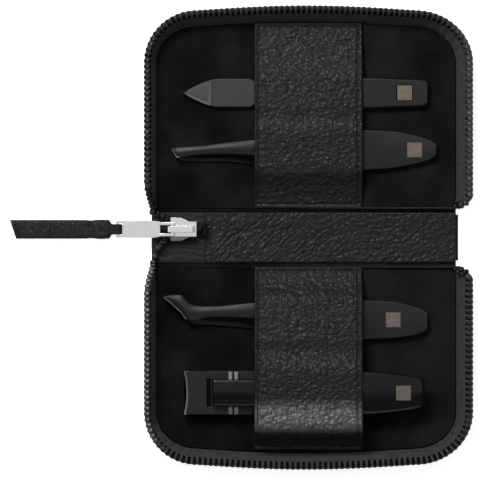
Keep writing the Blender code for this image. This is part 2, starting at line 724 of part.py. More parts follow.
def make_zip_ends(spine):
    """The two rows of teeth from the walls' left ends to the slider, and the teeth joined behind it."""
    first = wall_stations()[0]
    start = first[3] - TOOTH_HEIGHT / 2
    wall_x = first[0].x + first[1].x * start / RIM_RISE - TAPE_THICKNESS / 2
    wall_z = LINING_TOP + start
    fork_x = SLIDER_X - GAP
    offset = SLIDER_HALF_FORK - TOOTH_WIDTH / 2
    reach = first[0].y - GAP
    lower = [(fork_x - FOLD * a, ZIP_Y - offset - FOLD * b, CHAIN_Z) for a, b in LOWER_TAIL_SHARES]
    tail = loft("lower_zip_tail", chain_sections(lower, TOOTH_WIDTH, TOOTH_WAIST))
    add_piece("lower_zip_tail", tail, "zip_metal", spine)
    lower_bridge = [
        (lower[-1][0] - GAP, lower[-1][1] - 2 * GAP, CHAIN_Z),
        (wall_x + GAP, -FOLD + 4 * GAP, (CHAIN_Z + wall_z) / 2),
        (wall_x, -FOLD - reach, wall_z),
    ]
    bridge = loft("lower_zip_bridge", chain_sections(lower_bridge, TOOTH_WIDTH, TOOTH_WAIST))
    add_piece("lower_zip_bridge", bridge, "zip_metal", spine)
    upper_bridge = [(fork_x - FOLD * a, ZIP_Y + offset + FOLD * b, CHAIN_Z) for a, b in UPPER_BEND_SHARES]
    upper_bridge += [
        (wall_x + GAP, FOLD - 2 * GAP, (CHAIN_Z + wall_z) / 2),
        (wall_x, FOLD + reach, wall_z),
    ]
    bridge = loft("upper_zip_bridge", chain_sections(upper_bridge, TOOTH_WIDTH, TOOTH_WAIST))
    add_piece("upper_zip_bridge", bridge, "zip_metal", spine)
    joined_x = SLIDER_X + SLIDER_LENGTH + SLIDER_TRAVEL + GAP
    joined = [(joined_x - JOINED_TEETH_LENGTH, ZIP_Y, CHAIN_Z), (joined_x, ZIP_Y, CHAIN_Z)]
    teeth = loft("joined_teeth", chain_sections(joined, TOOTH_WIDTH, TOOTH_WIDTH * JOINED_TEETH_WAIST_SHARE))
    add_piece("joined_teeth", teeth, "zip_metal", spine)
    low = (joined_x + GAP, ZIP_Y - BOTTOM_STOP_WIDTH / 2, SLIDER_LOW)
    high = (joined_x + GAP + BOTTOM_STOP_LENGTH, ZIP_Y + BOTTOM_STOP_WIDTH / 2, CHAIN_Z + TOOTH_HEIGHT / 2)
    add_piece("bottom_stop", box("bottom_stop", low, high), "zip_metal", spine)


def slider_point(x, y):
    return (SLIDER_X + x, ZIP_Y + y)


def make_slider(carrier):
    """The die-cast slider: two plates joined by the wedge at its fork, with a bridge for the pull."""
    fork, tail = SLIDER_HALF_FORK, SLIDER_HALF_TAIL
    right = SLIDER_LENGTH
    half_outline = ((0, fork), (SLIDER_SHOULDER, fork), (SLIDER_WAIST, tail), (right, tail))
    outline = [slider_point(x, -y) for x, y in half_outline]
    outline += [slider_point(x, y) for x, y in reversed(half_outline)]
    body = add_piece("slider_body", prism("slider_body", outline, SLIDER_LOW, SLIDER_TOP), "slider_metal", carrier)
    inner_fork, inner_tail = fork - SLIDER_FLANGE, tail - SLIDER_FLANGE
    over = SLIDER_FLANGE
    wedge = SLIDER_DIAMOND_HALF
    channel = [(-over, wedge), (-over, inner_fork), (SLIDER_SHOULDER, inner_fork), (SLIDER_WAIST, inner_tail)]
    channel += [(right + over, inner_tail), (right + over, -inner_tail), (SLIDER_WAIST, -inner_tail)]
    channel += [(SLIDER_SHOULDER, -inner_fork), (-over, -inner_fork), (-over, -wedge)]
    channel += [(SLIDER_DIAMOND_LENGTH / 2, -wedge), (SLIDER_DIAMOND_LENGTH, 0), (SLIDER_DIAMOND_LENGTH / 2, wedge)]
    low = SLIDER_LOW + SLIDER_PLATE
    cut(body, prism("slider_channel", [slider_point(x, y) for x, y in channel], low, low + SLIDER_CHANNEL))
    for name, side in (("near", -1), ("far", 1)):
        ys = sorted((side * (inner_tail - over / 2), side * (fork + over)))
        slit_low = (SLIDER_X - over, ZIP_Y + ys[0], CHAIN_Z - SLIDER_SLIT / 2)
        slit_high = (SLIDER_X + right + over, ZIP_Y + ys[1], CHAIN_Z + SLIDER_SLIT / 2)
        cut(body, box(f"slider_slit_{name}", slit_low, slit_high))
    bridge_left = SLIDER_X - BRIDGE_NOSE
    bridge_right = SLIDER_X + right - BRIDGE_BACK_SETBACK
    top = BRIDGE_HOLE_LOW + BRIDGE_ROOM + BRIDGE_STRAP
    slope = BRIDGE_STRAP
    sunk = SLIDER_TOP - SLIDER_PLATE / 2
    profile = ((bridge_left, sunk), (bridge_right, sunk), (bridge_right, top - slope), (bridge_right - slope, top))
    profile += ((bridge_left + slope, top), (bridge_left, top - slope))
    ys = (ZIP_Y - BRIDGE_WIDTH / 2, ZIP_Y + BRIDGE_WIDTH / 2)
    join(body, loft("bridge", [[(x, y, z) for x, z in profile] for y in ys]))
    low = (bridge_left + BRIDGE_LEG, ys[0] - over, BRIDGE_HOLE_LOW)
    high = (bridge_right - BRIDGE_LEG, ys[1] + over, BRIDGE_HOLE_LOW + BRIDGE_ROOM)
    cut(body, box("bridge_hole", low, high))


def make_pull(carrier):
    """The flat metal pull: a hole that the slider's bridge passes, and a window for the leather tab."""
    half, neck = PULL_WIDTH / 2, PULL_NECK_WIDTH / 2
    outline = [(PULL_BAR / 2, -neck), (PULL_BAR / 2, neck), (-PULL_NECK_LENGTH * PULL_NECK_STRAIGHT_SHARE, neck)]
    outline += [(-PULL_NECK_LENGTH, half), (-PULL_LENGTH, half), (-PULL_LENGTH, -half)]
    outline += [(-PULL_NECK_LENGTH, -half), (-PULL_NECK_LENGTH * PULL_NECK_STRAIGHT_SHARE, -neck)]
    mesh = prism("zip_pull", outline, -PULL_THICKNESS / 2, PULL_THICKNESS / 2)
    mesh.transform(PULL_TURN)
    pull = add_piece("zip_pull", mesh, "slider_metal", carrier)
    over = PULL_THICKNESS
    hole_right = -PULL_BAR / 2
    hole_low = (hole_right - PULL_HOLE_LENGTH, -PULL_HOLE_WIDTH / 2, -over)
    cut(pull, box("pull_hole", hole_low, (hole_right, PULL_HOLE_WIDTH / 2, over)), PULL_TURN)
    window_left = -TAB_BAR_FROM_AXIS + PULL_BAR / 2
    window_high = (window_left + PULL_WINDOW_LENGTH, PULL_WINDOW_WIDTH / 2, over)
    cut(pull, box("pull_window", (window_left, -PULL_WINDOW_WIDTH / 2, -over), window_high), PULL_TURN)


def make_tab(carrier):
    """The leather tab: a doubled strap whose folded end loops round the pull's end bar."""
    right = TAB_AXIS.x - TAB_SHOULDER
    left = right - TAB_LENGTH + TAB_SHOULDER
    half = TAB_WIDTH / 2
    outline = [(left + TAB_SLANT, TAB_AXIS.y - half), (right, TAB_AXIS.y - half)]
    outline += [(right, TAB_AXIS.y + half), (left, TAB_AXIS.y + half)]
    low = TAB_FLOOR_GAP
    tab = add_piece("leather_tab", prism("leather_tab", outline, low, low + TAB_THICKNESS), "grained_leather", carrier)
    throat = TAB_LOOP_HALF_WIDTH
    throat_low = (right - TAB_LOOP_WALL, TAB_AXIS.y - throat, low + GAP)
    throat_high = (TAB_AXIS.x - TAB_LOOP_BORE, TAB_AXIS.y + throat, low + TAB_THICKNESS - GAP)
    join(tab, box("tab_throat", throat_low, throat_high))
    join(tab, cylinder("tab_loop", TAB_AXIS, TAB_LOOP_RADIUS, 2 * throat, "Y", TAB_LOOP_SIDES))
    cut(tab, cylinder("tab_bore", TAB_AXIS, TAB_LOOP_BORE, 4 * throat, "Y", TAB_LOOP_SIDES))


def bar_section(x, y0, y1, low, high, edge):
    """A section of a flat bar with its two upper edges taken off."""
    edge = min(edge, (y1 - y0) / 4)
    corners = ((y0, low), (y1, low), (y1, high - edge), (y1 - edge, high), (y0 + edge, high), (y0, high - edge))
    return [(x, y, z) for y, z in corners]


def cut_inlay_pocket(piece, x, y, top):
    half = INLAY_SIZE / 2 + INLAY_POCKET_ROOM
    low = (x - half, y - half, top - INLAY_THICKNESS - GAP + INLAY_PROUD)
    cut(piece, box(f"{piece.name}_pocket", low, (x + half, y + half, top + INLAY_THICKNESS)))


def make_inlay(name, x, y, top, carrier):
    half = INLAY_SIZE / 2
    low = (x - half, y - half, top + INLAY_PROUD - INLAY_THICKNESS)
    mesh = box(name, low, (x + half, y + half, top + INLAY_PROUD))
    return add_piece(name, mesh, "inlay_steel", carrier)


def make_file(carrier):
    """The nail file: an abrasive blade whose tang sits in a slot of the black handle."""
    half = FILE_BLADE_WIDTH / 2
    edge = [(FILE_TIP_X + s * FILE_POINT_LENGTH, w * half) for s, w in FILE_POINT_SHARES]
    start = FILE_END_X - FILE_HANDLE_LENGTH
    tang = start - FILE_TANG_SHOWN
    tang_end = start + FILE_TANG_SUNK
    tang_half = FILE_TANG_WIDTH / 2
    edge += [(tang - FILE_SHOULDER_LENGTH, half), (tang, tang_half), (tang_end, tang_half)]
    outline = [(x, FILE_Y - w) for x, w in edge] + [(x, FILE_Y + w) for x, w in reversed(edge)]
    middle = TOOL_LOW + FILE_HANDLE_THICKNESS / 2
    low, high = middle - FILE_BLADE_THICKNESS / 2, middle + FILE_BLADE_THICKNESS / 2
    add_piece("file_blade", prism("file_blade", outline, low, high), "file_abrasive", carrier)
    top = TOOL_LOW + FILE_HANDLE_THICKNESS
    widths = ((0.0, FILE_HANDLE_FRONT_WIDTH), (0.45, FILE_HANDLE_MIDDLE_WIDTH), (0.65, FILE_HANDLE_MIDDLE_WIDTH))
    widths += ((0.97, FILE_HANDLE_END_WIDTH), (1.0, FILE_HANDLE_END_WIDTH - 2 * FILE_EDGE))
    sections = []
    for share, width in widths:
        x = start + share * FILE_HANDLE_LENGTH
        sections.append(bar_section(x, FILE_Y - width / 2, FILE_Y + width / 2, TOOL_LOW, top, FILE_EDGE))
    handle = add_piece("file_handle", loft("file_handle", sections), "black_steel", carrier)
    slot_half = tang_half + GAP
    slot_low = (start - GAP, FILE_Y - slot_half, low - GAP)
    cut(handle, box("file_slot", slot_low, (tang_end + GAP, FILE_Y + slot_half, high + GAP)))
    inlay_x = FILE_END_X - FILE_INLAY_FROM_END
    cut_inlay_pocket(handle, inlay_x, FILE_Y, top)
    make_inlay("file_inlay", inlay_x, FILE_Y, top, carrier)


def make_arm(name, tip_x, end_x, middle_y, half_width, shares, bottom, carrier):
    """One arm of a pair of tweezers, as a flat bar whose outline and height follow its length."""
    sections = []
    for share, low, high in shares:
        y0, y1 = middle_y + low * half_width, middle_y + high * half_width
        z = bottom(share)
        x = tip_x + share * (end_x - tip_x)
        sections.append(bar_section(x, y0, y1, z, z + ARM_THICKNESS, ARM_EDGE))
    return add_piece(name, loft(name, sections), "black_steel", carrier)


def make_tweezers(name, sizes, tables, inlay_from_end, body, upper_body):
    tip_x, end_x, middle_y, half_width, opening = sizes
    upper_table, lower_table = tables
    rest = TOOL_LOW + ARM_THICKNESS + GAP

    def upper_bottom(share):
        return rest + opening * table_value(OPENING_SHARES, share)

    place = (tip_x, end_x, middle_y, half_width)
    make_arm(f"{name}_lower_arm", *place, lower_table, lambda share: TOOL_LOW, body)
    upper = make_arm(f"{name}_upper_arm", *place, upper_table, upper_bottom, upper_body)
    inlay_x = end_x - inlay_from_end
    top = rest + ARM_THICKNESS
    cut_inlay_pocket(upper, inlay_x, middle_y, top)
    make_inlay(f"{name}_inlay", inlay_x, middle_y, top, upper_body)


def clipper_half_width(x, wide, end):
    """Half the width of the clipper's plates: full, then tapering to the rounded rear end."""
    widest = LEVER_FRONT_X + LEVER_SPREAD_SHARES[-1][0] * (LEVER_END_X - LEVER_FRONT_X)
    share = (x - widest) / (LEVER_END_X - widest)
    if share <= 0:
        return wide
    return wide + (end - wide) * table_value(((0.0, 0.0), *TAPER_SHARES), share)


CLIPPER_LOW = TOOL_LOW
CLIPPER_LOWER_TOP = CLIPPER_LOW + CLIPPER_LOWER_THICKNESS
CLIPPER_REAR_LOW = CLIPPER_LOWER_TOP + GAP
CLIPPER_FRONT_LOW = CLIPPER_REAR_LOW + CLIPPER_FRONT_ROOM


def upper_jaw_low(x):
    """Underside of the upper jaw, which rises from the rivet to the front."""
    share = min(max((CLIPPER_RIVET_X - x) / (CLIPPER_RIVET_X - CLIPPER_FRONT_X), 0.0), 1.0)
    return CLIPPER_REAR_LOW + (CLIPPER_FRONT_LOW - CLIPPER_REAR_LOW) * share


PIN_Z = upper_jaw_low(CLIPPER_PIN_X) + CLIPPER_UPPER_THICKNESS + GAP + CLIPPER_PIN_RADIUS
LEVER_LOW = PIN_Z + CLIPPER_PIN_RADIUS + GAP
LEVER_TOP = LEVER_LOW + LEVER_THICKNESS


def jaw_sections(low_at, thickness, lip_z, concave):
    """Sections of a jaw from its cutting lip to its rear end. The lip reaches to lip_z."""
    wide = CLIPPER_HALF_WIDTH
    span = CLIPPER_REAR_X - CLIPPER_FRONT_X
    sections = []
    for share in (0.0, CLIPPER_LIP / 2 / span, CLIPPER_LIP / span, *JAW_SHARES):
        x = CLIPPER_FRONT_X + share * span
        half = min(clipper_half_width(x + LEVER_END_X - CLIPPER_REAR_X, wide, LEVER_END_HALF), wide)
        low, high = low_at(x), low_at(x) + thickness
        bite = max(1 - share * span / CLIPPER_LIP, 0.0)
        if lip_z > high:
            rise = (lip_z - high) * bite
            low, high = low + rise * LIP_TURN_SHARE, high + rise
        else:
            drop = (low - lip_z) * bite
            low, high = low - drop, high - drop * LIP_TURN_SHARE
        row = [(x + concave * bite * b, CLIPPER_Y + half * w) for w, b in LIP_BOW_SHARES]
        sections.append([(*p, low) for p in row] + [(*p, high) for p in reversed(row)])
    return sections


def make_clipper(body, jaw_body, lever_body):
    """The nail clipper: two jaws riveted at the rear, a post and cross pins at the front, a lever."""
    concave = CLIPPER_LIP * LIP_BOW_SHARE
    meet = (CLIPPER_LOWER_TOP + CLIPPER_FRONT_LOW) / 2
    lower = loft(
        "clipper_lower_jaw",
        jaw_sections(lambda x: CLIPPER_LOW, CLIPPER_LOWER_THICKNESS, meet - CLIPPER_CUTTING_GAP / 2, concave),
    )
    lower = add_piece("clipper_lower_jaw", lower, "black_steel", body)
    upper = loft(
        "clipper_upper_jaw",
        jaw_sections(upper_jaw_low, CLIPPER_UPPER_THICKNESS, meet + CLIPPER_CUTTING_GAP / 2, concave),
    )
    upper = add_piece("clipper_upper_jaw", upper, "black_steel", jaw_body)
    post_top = PIN_Z - CLIPPER_PIN_RADIUS - GAP
    post_low = CLIPPER_LOW + GAP / 3
    rivet_top = CLIPPER_REAR_LOW + CLIPPER_UPPER_THICKNESS - GAP / 3
    for name, x, radius, top in (
        ("clipper_post", CLIPPER_PIN_X, CLIPPER_POST_RADIUS, post_top),
        ("clipper_rivet", CLIPPER_RIVET_X, CLIPPER_RIVET_RADIUS, rivet_top),
    ):
        centre = Vector((x, CLIPPER_Y, (post_low + top) / 2))
        mesh = cylinder(name, centre, radius, top - post_low, "Z", CLIPPER_PIN_SIDES)
        add_piece(name, mesh, "bright_steel", body)
        room = radius + CLIPPER_HOLE_ROOM
        for jaw in (lower, upper):
            cut(jaw, cylinder(f"{name}_hole", centre, room, 4 * (top - post_low), "Z", CLIPPER_PIN_SIDES))
    for name, shift in (("clipper_front_pin", -0.5), ("clipper_rear_pin", 0.5)):
        centre = Vector((CLIPPER_PIN_X + shift * CLIPPER_PIN_SPACING, CLIPPER_Y, PIN_Z))
        mesh = cylinder(name, centre, CLIPPER_PIN_RADIUS, 2 * CLIPPER_HALF_WIDTH, "Y", CLIPPER_PIN_SIDES)
        add_piece(name, mesh, "bright_steel", body)
    span = LEVER_END_X - LEVER_FRONT_X
    rows = [(s, LEVER_NARROW_HALF + (LEVER_WIDE_HALF - LEVER_NARROW_HALF) * w) for s, w in LEVER_SPREAD_SHARES]
    for share, _ in TAPER_SHARES:
        along = LEVER_SPREAD_SHARES[-1][0] + (1 - LEVER_SPREAD_SHARES[-1][0]) * share
        x = LEVER_FRONT_X + along * span
        rows.append((along, clipper_half_width(x, LEVER_WIDE_HALF, LEVER_END_HALF)))
    sections = []
    for share, half in rows:
        x = LEVER_FRONT_X + share * span
        sections.append(bar_section(x, CLIPPER_Y - half, CLIPPER_Y + half, LEVER_LOW, LEVER_TOP, ARM_EDGE))
    lever = add_piece("clipper_lever", loft("clipper_lever", sections), "black_steel", lever_body)
    inlay_x = LEVER_END_X - CLIPPER_INLAY_FROM_END
    cut_inlay_pocket(lever, inlay_x, CLIPPER_Y, LEVER_TOP)
    make_inlay("clipper_inlay", inlay_x, CLIPPER_Y, LEVER_TOP, lever_body)


def build_part():
    clear_scene()
    spine = axis_empty("spine_axis", (0, -FOLD, LINING_TOP))
    upper = axis_empty("upper_half_axis", (0, FOLD, LINING_TOP), spine)
    slider = axis_empty("slider_axis", (SLIDER_X, ZIP_Y, CHAIN_Z), spine)
    pull = axis_empty("pull_axis", PULL_AXIS, slider)
    tab = axis_empty("tab_axis", TAB_AXIS, pull)
    hinge_z = TOOL_LOW + ARM_THICKNESS
    slant_hinge = (SLANT_END_X, SLANT_Y, hinge_z)
    angled_hinge = (ANGLED_END_X, ANGLED_Y, hinge_z)
    nail_file = axis_empty("nail_file_axis", (FILE_TIP_X, FILE_Y, TOOL_LOW), upper)
    slant_lower = axis_empty("slant_tweezers_axis", (SLANT_TIP_X, SLANT_Y, TOOL_LOW), upper)
    slant_upper = axis_empty("slant_upper_arm_axis", slant_hinge, slant_lower)
    angled_lower = axis_empty("angled_tweezers_axis", (ANGLED_TIP_X, ANGLED_Y, TOOL_LOW))
    angled_upper = axis_empty("angled_upper_arm_axis", angled_hinge, angled_lower)
    clipper = axis_empty("clipper_axis", (CLIPPER_FRONT_X, CLIPPER_Y, TOOL_LOW))
    jaw = axis_empty("clipper_jaw_axis", (CLIPPER_RIVET_X, CLIPPER_Y, CLIPPER_LOWER_TOP), clipper)
    lever = axis_empty("clipper_lever_axis", (CLIPPER_PIN_X, CLIPPER_Y, PIN_Z), clipper)
    make_half("lower", -1, None)
    make_half("upper", 1, upper)
    make_spine(spine)
    make_fold_strips(spine)
    make_zip_ends(spine)
    make_slider(slider)
    make_pull(pull)
    make_tab(tab)
    make_file(nail_file)
    slant = (SLANT_TIP_X, SLANT_END_X, SLANT_Y, SLANT_HALF_WIDTH, SLANT_OPEN)
    angled = (ANGLED_TIP_X, ANGLED_END_X, ANGLED_Y, ANGLED_HALF_WIDTH, ANGLED_OPEN)
    slant_tables = (SLANT_UPPER_SHARES, SLANT_LOWER_SHARES)
    angled_tables = (ANGLED_UPPER_SHARES, ANGLED_LOWER_SHARES)
    make_tweezers("slant_tweezers", slant, slant_tables, SLANT_INLAY_FROM_END, slant_lower, slant_upper)
    make_tweezers("angled_tweezers", angled, angled_tables, ANGLED_INLAY_FROM_END, angled_lower, angled_upper)
    make_clipper(clipper, jaw, lever)
    arms_top = TOOL_LOW + 2 * ARM_THICKNESS + GAP
    file_top = TOOL_LOW + FILE_HANDLE_THICKNESS
    upper_tools = (
        (SLANT_Y - FOLD, SLANT_HALF_WIDTH, arms_top + SLANT_OPEN),
        (FILE_Y - FOLD, FILE_HANDLE_MIDDLE_WIDTH / 2, file_top),
    )
    lower_tools = (
        (-ANGLED_Y - FOLD, ANGLED_HALF_WIDTH, arms_top + ANGLED_OPEN),
        (-CLIPPER_Y - FOLD, LEVER_WIDE_HALF, LEVER_TOP + LEVER_ROOM),
    )
    make_band("upper", 1, upper_tools, upper)
    make_band("lower", -1, lower_tools, None)


build_part()
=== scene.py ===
import math

import bmesh
import bpy
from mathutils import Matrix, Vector, noise


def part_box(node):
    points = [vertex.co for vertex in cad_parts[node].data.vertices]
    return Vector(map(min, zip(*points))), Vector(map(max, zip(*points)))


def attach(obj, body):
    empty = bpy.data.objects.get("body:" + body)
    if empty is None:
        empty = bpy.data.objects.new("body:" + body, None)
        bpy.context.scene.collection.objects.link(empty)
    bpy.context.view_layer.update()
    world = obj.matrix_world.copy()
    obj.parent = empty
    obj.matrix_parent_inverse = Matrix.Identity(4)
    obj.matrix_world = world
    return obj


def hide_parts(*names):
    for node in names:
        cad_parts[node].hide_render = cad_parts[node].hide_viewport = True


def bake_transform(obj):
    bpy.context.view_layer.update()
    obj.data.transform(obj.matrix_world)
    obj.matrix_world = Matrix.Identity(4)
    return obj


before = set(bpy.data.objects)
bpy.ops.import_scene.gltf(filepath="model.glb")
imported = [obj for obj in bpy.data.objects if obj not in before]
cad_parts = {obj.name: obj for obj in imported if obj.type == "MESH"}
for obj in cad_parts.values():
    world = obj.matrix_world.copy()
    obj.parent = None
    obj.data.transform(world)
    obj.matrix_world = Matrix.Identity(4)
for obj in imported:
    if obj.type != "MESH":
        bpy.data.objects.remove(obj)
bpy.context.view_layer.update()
MM = 0.001

# Suede lining of both halves: split cowhide with its nap brushed up, glued over the boards. Each
# panel fills one half's floor inside the foot of the zip tape, so the run of that foot comes first.
FLOOR_TOP = 2.9 * MM
FOLD_LINE = 8.75 * MM
FLOOR_LEFT, FLOOR_RIGHT, FLOOR_DEPTH = 52.0 * MM, 50.4 * MM, 64.8 * MM
CORNER_ACROSS, CORNER_DEEP, FAR_BOW = 14.2 * MM, 12.6 * MM, 1.6 * MM
LEAN_LEFT, LEAN_RIGHT, LEAN_FAR = 2.9 * MM, 4.6 * MM, 4.4 * MM
RIM_RISE, LEFT_RISE, RIGHT_RISE = 8.6 * MM, 2.4 * MM, 5.0 * MM
LEFT_CLIMB_RUN = 10.0 * MM
END_ACROSS, END_DEEP, END_START, END_LEAN = 2.5 * MM, 3.3 * MM, 5.2 * MM, 0.4 * MM
END_TURN = math.radians(60)
FOOT_START = 0.5 * MM
# Steps of the foot up the left side, round a corner, along the far side, down the right and round its end
LEFT_STEPS, CORNER_STEPS, FAR_STEPS, RIGHT_STEPS, END_STEPS = 60, 32, 60, 50, 16


def smooth_step(share):
    share = min(max(share, 0.0), 1.0)
    return share * share * (3 - 2 * share)


def foot_of_wall():
    """Stations from the left fold round to the right fold: foot (x, v), lean by the rim, outward, rise."""
    corner_v = FLOOR_DEPTH - FAR_BOW - CORNER_DEEP
    left_x, right_x = CORNER_ACROSS - FLOOR_LEFT, FLOOR_RIGHT - CORNER_ACROSS
    found = []

    def station(x, v, out, rise):
        lean = Vector((out.x * (LEAN_LEFT if out.x < 0 else LEAN_RIGHT), out.y * LEAN_FAR))
        found.append((Vector((x, v)), lean, out.normalized(), rise))

    def corner(middle_x, out):
        station(middle_x + CORNER_ACROSS * out.x, corner_v + CORNER_DEEP * out.y, out, RIM_RISE)

    for i in range(LEFT_STEPS + 1):
        v = FOOT_START + (corner_v - FOOT_START) * i / LEFT_STEPS
        climb = smooth_step(v / LEFT_CLIMB_RUN)
        station(-FLOOR_LEFT, v, Vector((-1, 0)), LEFT_RISE + (RIM_RISE - LEFT_RISE) * climb)
    for i in range(1, CORNER_STEPS + 1):
        turn = math.radians(90) * i / CORNER_STEPS
        corner(left_x, Vector((-math.cos(turn), math.sin(turn))))
    for i in range(1, FAR_STEPS):
        bow = FAR_BOW * math.sin(math.pi * i / FAR_STEPS)
        x = left_x + (right_x - left_x) * i / FAR_STEPS
        station(x, corner_v + CORNER_DEEP + bow, Vector((0, 1)), RIM_RISE)
    for i in range(CORNER_STEPS + 1):
        turn = math.radians(90) * (CORNER_STEPS - i) / CORNER_STEPS
        corner(right_x, Vector((math.cos(turn), math.sin(turn))))
    for i in range(1, RIGHT_STEPS + 1):
        v = corner_v + (END_START - corner_v) * i / RIGHT_STEPS
        station(FLOOR_RIGHT, v, Vector((1, 0)), RIM_RISE)
    for i in range(1, END_STEPS + 1):
        turn = END_TURN * i / END_STEPS
        x = FLOOR_RIGHT - END_ACROSS * (1 - math.cos(turn))
        v = END_START - END_DEEP * math.sin(turn)
        lean = Vector((LEAN_RIGHT * math.cos(turn), -END_LEAN * math.sin(turn)))
        rise = RIM_RISE + (RIGHT_RISE - RIM_RISE) * smooth_step(i / END_STEPS)
        found.append((Vector((x, v)), lean, Vector((math.cos(turn), -math.sin(turn))), rise))
    return found


def wall_point(station, rise, outward, side):
    """A point of the leaning wall in the row frame. side is -1 for the lower half and 1 for the upper."""
    foot, lean, out, _ = station
    flat = foot + lean * (max(rise, 0.0) / RIM_RISE) + out * outward
    return Vector((flat.x, side * (FOLD_LINE + flat.y), FLOOR_TOP + rise))


def add_object(name, data):
    made = bpy.data.objects.new(name, data)
    bpy.context.scene.collection.objects.link(made)
    return made


def new_piece(name, mesh, material, smooth=True, sharp=None):
    """Adds a mesh as a piece. With a sharp angle, edges above it and large flat caps stay crisp."""
    piece = add_object(name, mesh)
    mesh.materials.clear()
    mesh.materials.append(material)
    if smooth:
        mesh.shade_smooth()
    if sharp:
        mesh.set_sharp_from_angle(angle=math.radians(sharp))
        for polygon in mesh.polygons:
            if len(polygon.vertices) > 4:
                polygon.use_smooth = False
    return piece


def closed_mesh(name, builder):
    bmesh.ops.recalc_face_normals(builder, faces=builder.faces)
    mesh = bpy.data.meshes.new(name)
    builder.to_mesh(mesh)
    builder.free()
    return mesh


def panel_mesh(name, profiles):
    """A closed panel: profiles run up its edge from underside to top, and two flat faces close it."""
    builder = bmesh.new()
    loops = [[builder.verts.new(p) for p in profile] for profile in profiles]
    for near, far in zip(loops, loops[1:] + loops[:1]):
        for j in range(len(near) - 1):
            builder.faces.new((near[j], far[j], far[j + 1], near[j + 1]))
    builder.faces.new([loop[0] for loop in loops])
    builder.faces.new([loop[-1] for loop in loops])
    return closed_mesh(name, builder)


def linear(code):
    """An sRGB hex colour as linear red, green, blue and alpha."""
    channels = [int(code[i : i + 2], 16) / 255 for i in (1, 3, 5)]
    return [c / 12.92 if c <= 0.04045 else ((c + 0.055) / 1.055) ** 2.4 for c in channels] + [1.0]


def node(tree, kind, inputs=None, **settings):
    """Adds one node, with its settings, and each input as a value or as a link from a socket."""
    made = tree.nodes.new(kind)
    for key, value in settings.items():
        setattr(made, key, value)
    for key, value in (inputs or {}).items():
        if isinstance(value, bpy.types.NodeSocket):
            tree.links.new(value, made.inputs[key])
        else:
            made.inputs[key].default_value = value
    return made


def new_material(name, **constants):
    """A material and its tree, shader and object coordinates. Constants go on the shader's sockets."""
    material = bpy.data.materials.new(name)
    material.use_nodes = True
    tree = material.node_tree
    shader = tree.nodes["Principled BSDF"]
    for key, value in constants.items():
        shader.inputs[key.replace("_", " ")].default_value = value
    place = node(tree, "ShaderNodeTexCoord").outputs["Object"]
    return material, tree, shader, place


def ramp(tree, factor, *stops):
    """A ramp with (position, colour) stops. A colour is a hex code, or one number for a grey level."""
    made = node(tree, "ShaderNodeValToRGB", {"Fac": factor})
    elements = made.color_ramp.elements
    stops = [(at, linear(c) if isinstance(c, str) else (c, c, c, 1.0)) for at, c in stops]
    elements[0].position, elements[0].color = stops[0]
    elements[1].position, elements[1].color = stops[-1]
    for position, colour in stops[1:-1]:
        elements.new(position).color = colour
    return made.outputs["Color"]


def noise_over(tree, place, size, detail):
    """Cloudy noise with patches of about this size."""
    made = node(tree, "ShaderNodeTexNoise", {"Vector": place, "Scale": 1 / size, "Detail": detail})
    return made.outputs["Fac"]


def spread(tree, value, source, result):
    """Maps a value from one (low, high) range to another, and holds it at the ends."""
    ends = {"From Min": source[0], "From Max": source[1], "To Min": result[0], "To Max": result[1]}
    return node(tree, "ShaderNodeMapRange", {"Value": value, **ends}).outputs["Result"]


def combined(tree, operation, *values):
    """A sum, a product or the like of sockets and numbers."""
    return node(tree, "ShaderNodeMath", dict(enumerate(values)), operation=operation).outputs[0]


def coated(tree, shader, colour, gloss=None, height=None, strength=1.0, depth=0.0):
    """Links a colour, and where they are given a roughness and the height of a bump, to the shader."""
    tree.links.new(colour, shader.inputs["Base Color"])
    if gloss is not None:
        tree.links.new(gloss, shader.inputs["Roughness"])
    if height is not None:
        bump = node(tree, "ShaderNodeBump", {"Height": height, "Strength": strength, "Distance": depth})
        tree.links.new(bump.outputs["Normal"], shader.inputs["Normal"])


# Brushed suede drinks light and shows paler and darker patches where the nap lies another way
suede, tree, shader, place = new_material(
    "brushed_suede", Roughness=0.95, Specular_IOR_Level=0.05, Sheen_Weight=0.05, Sheen_Roughness=0.5
)
shader.inputs["Sheen Tint"].default_value = linear("#8a8a8e")
patches = noise_over(tree, place, 17 * MM, 3.0)
nap = noise_over(tree, place, 0.5 * MM, 4.0)
parts = node(tree, "ShaderNodeSeparateXYZ", {"Vector": place})
brushed = spread(tree, parts.outputs["X"], (-50 * MM, 50 * MM), (-0.03, 0.09))
mixed = node(tree, "ShaderNodeMix", {"Factor": 0.35, "A": patches, "B": nap})
tone = combined(tree, "ADD", mixed.outputs[0], brushed)
colour = ramp(tree, tone, (0.36, "#070707"), (0.5, "#101011"), (0.66, "#1b1b1c"))
coated(tree, shader, colour, height=nap, strength=0.5, depth=0.1 * MM)

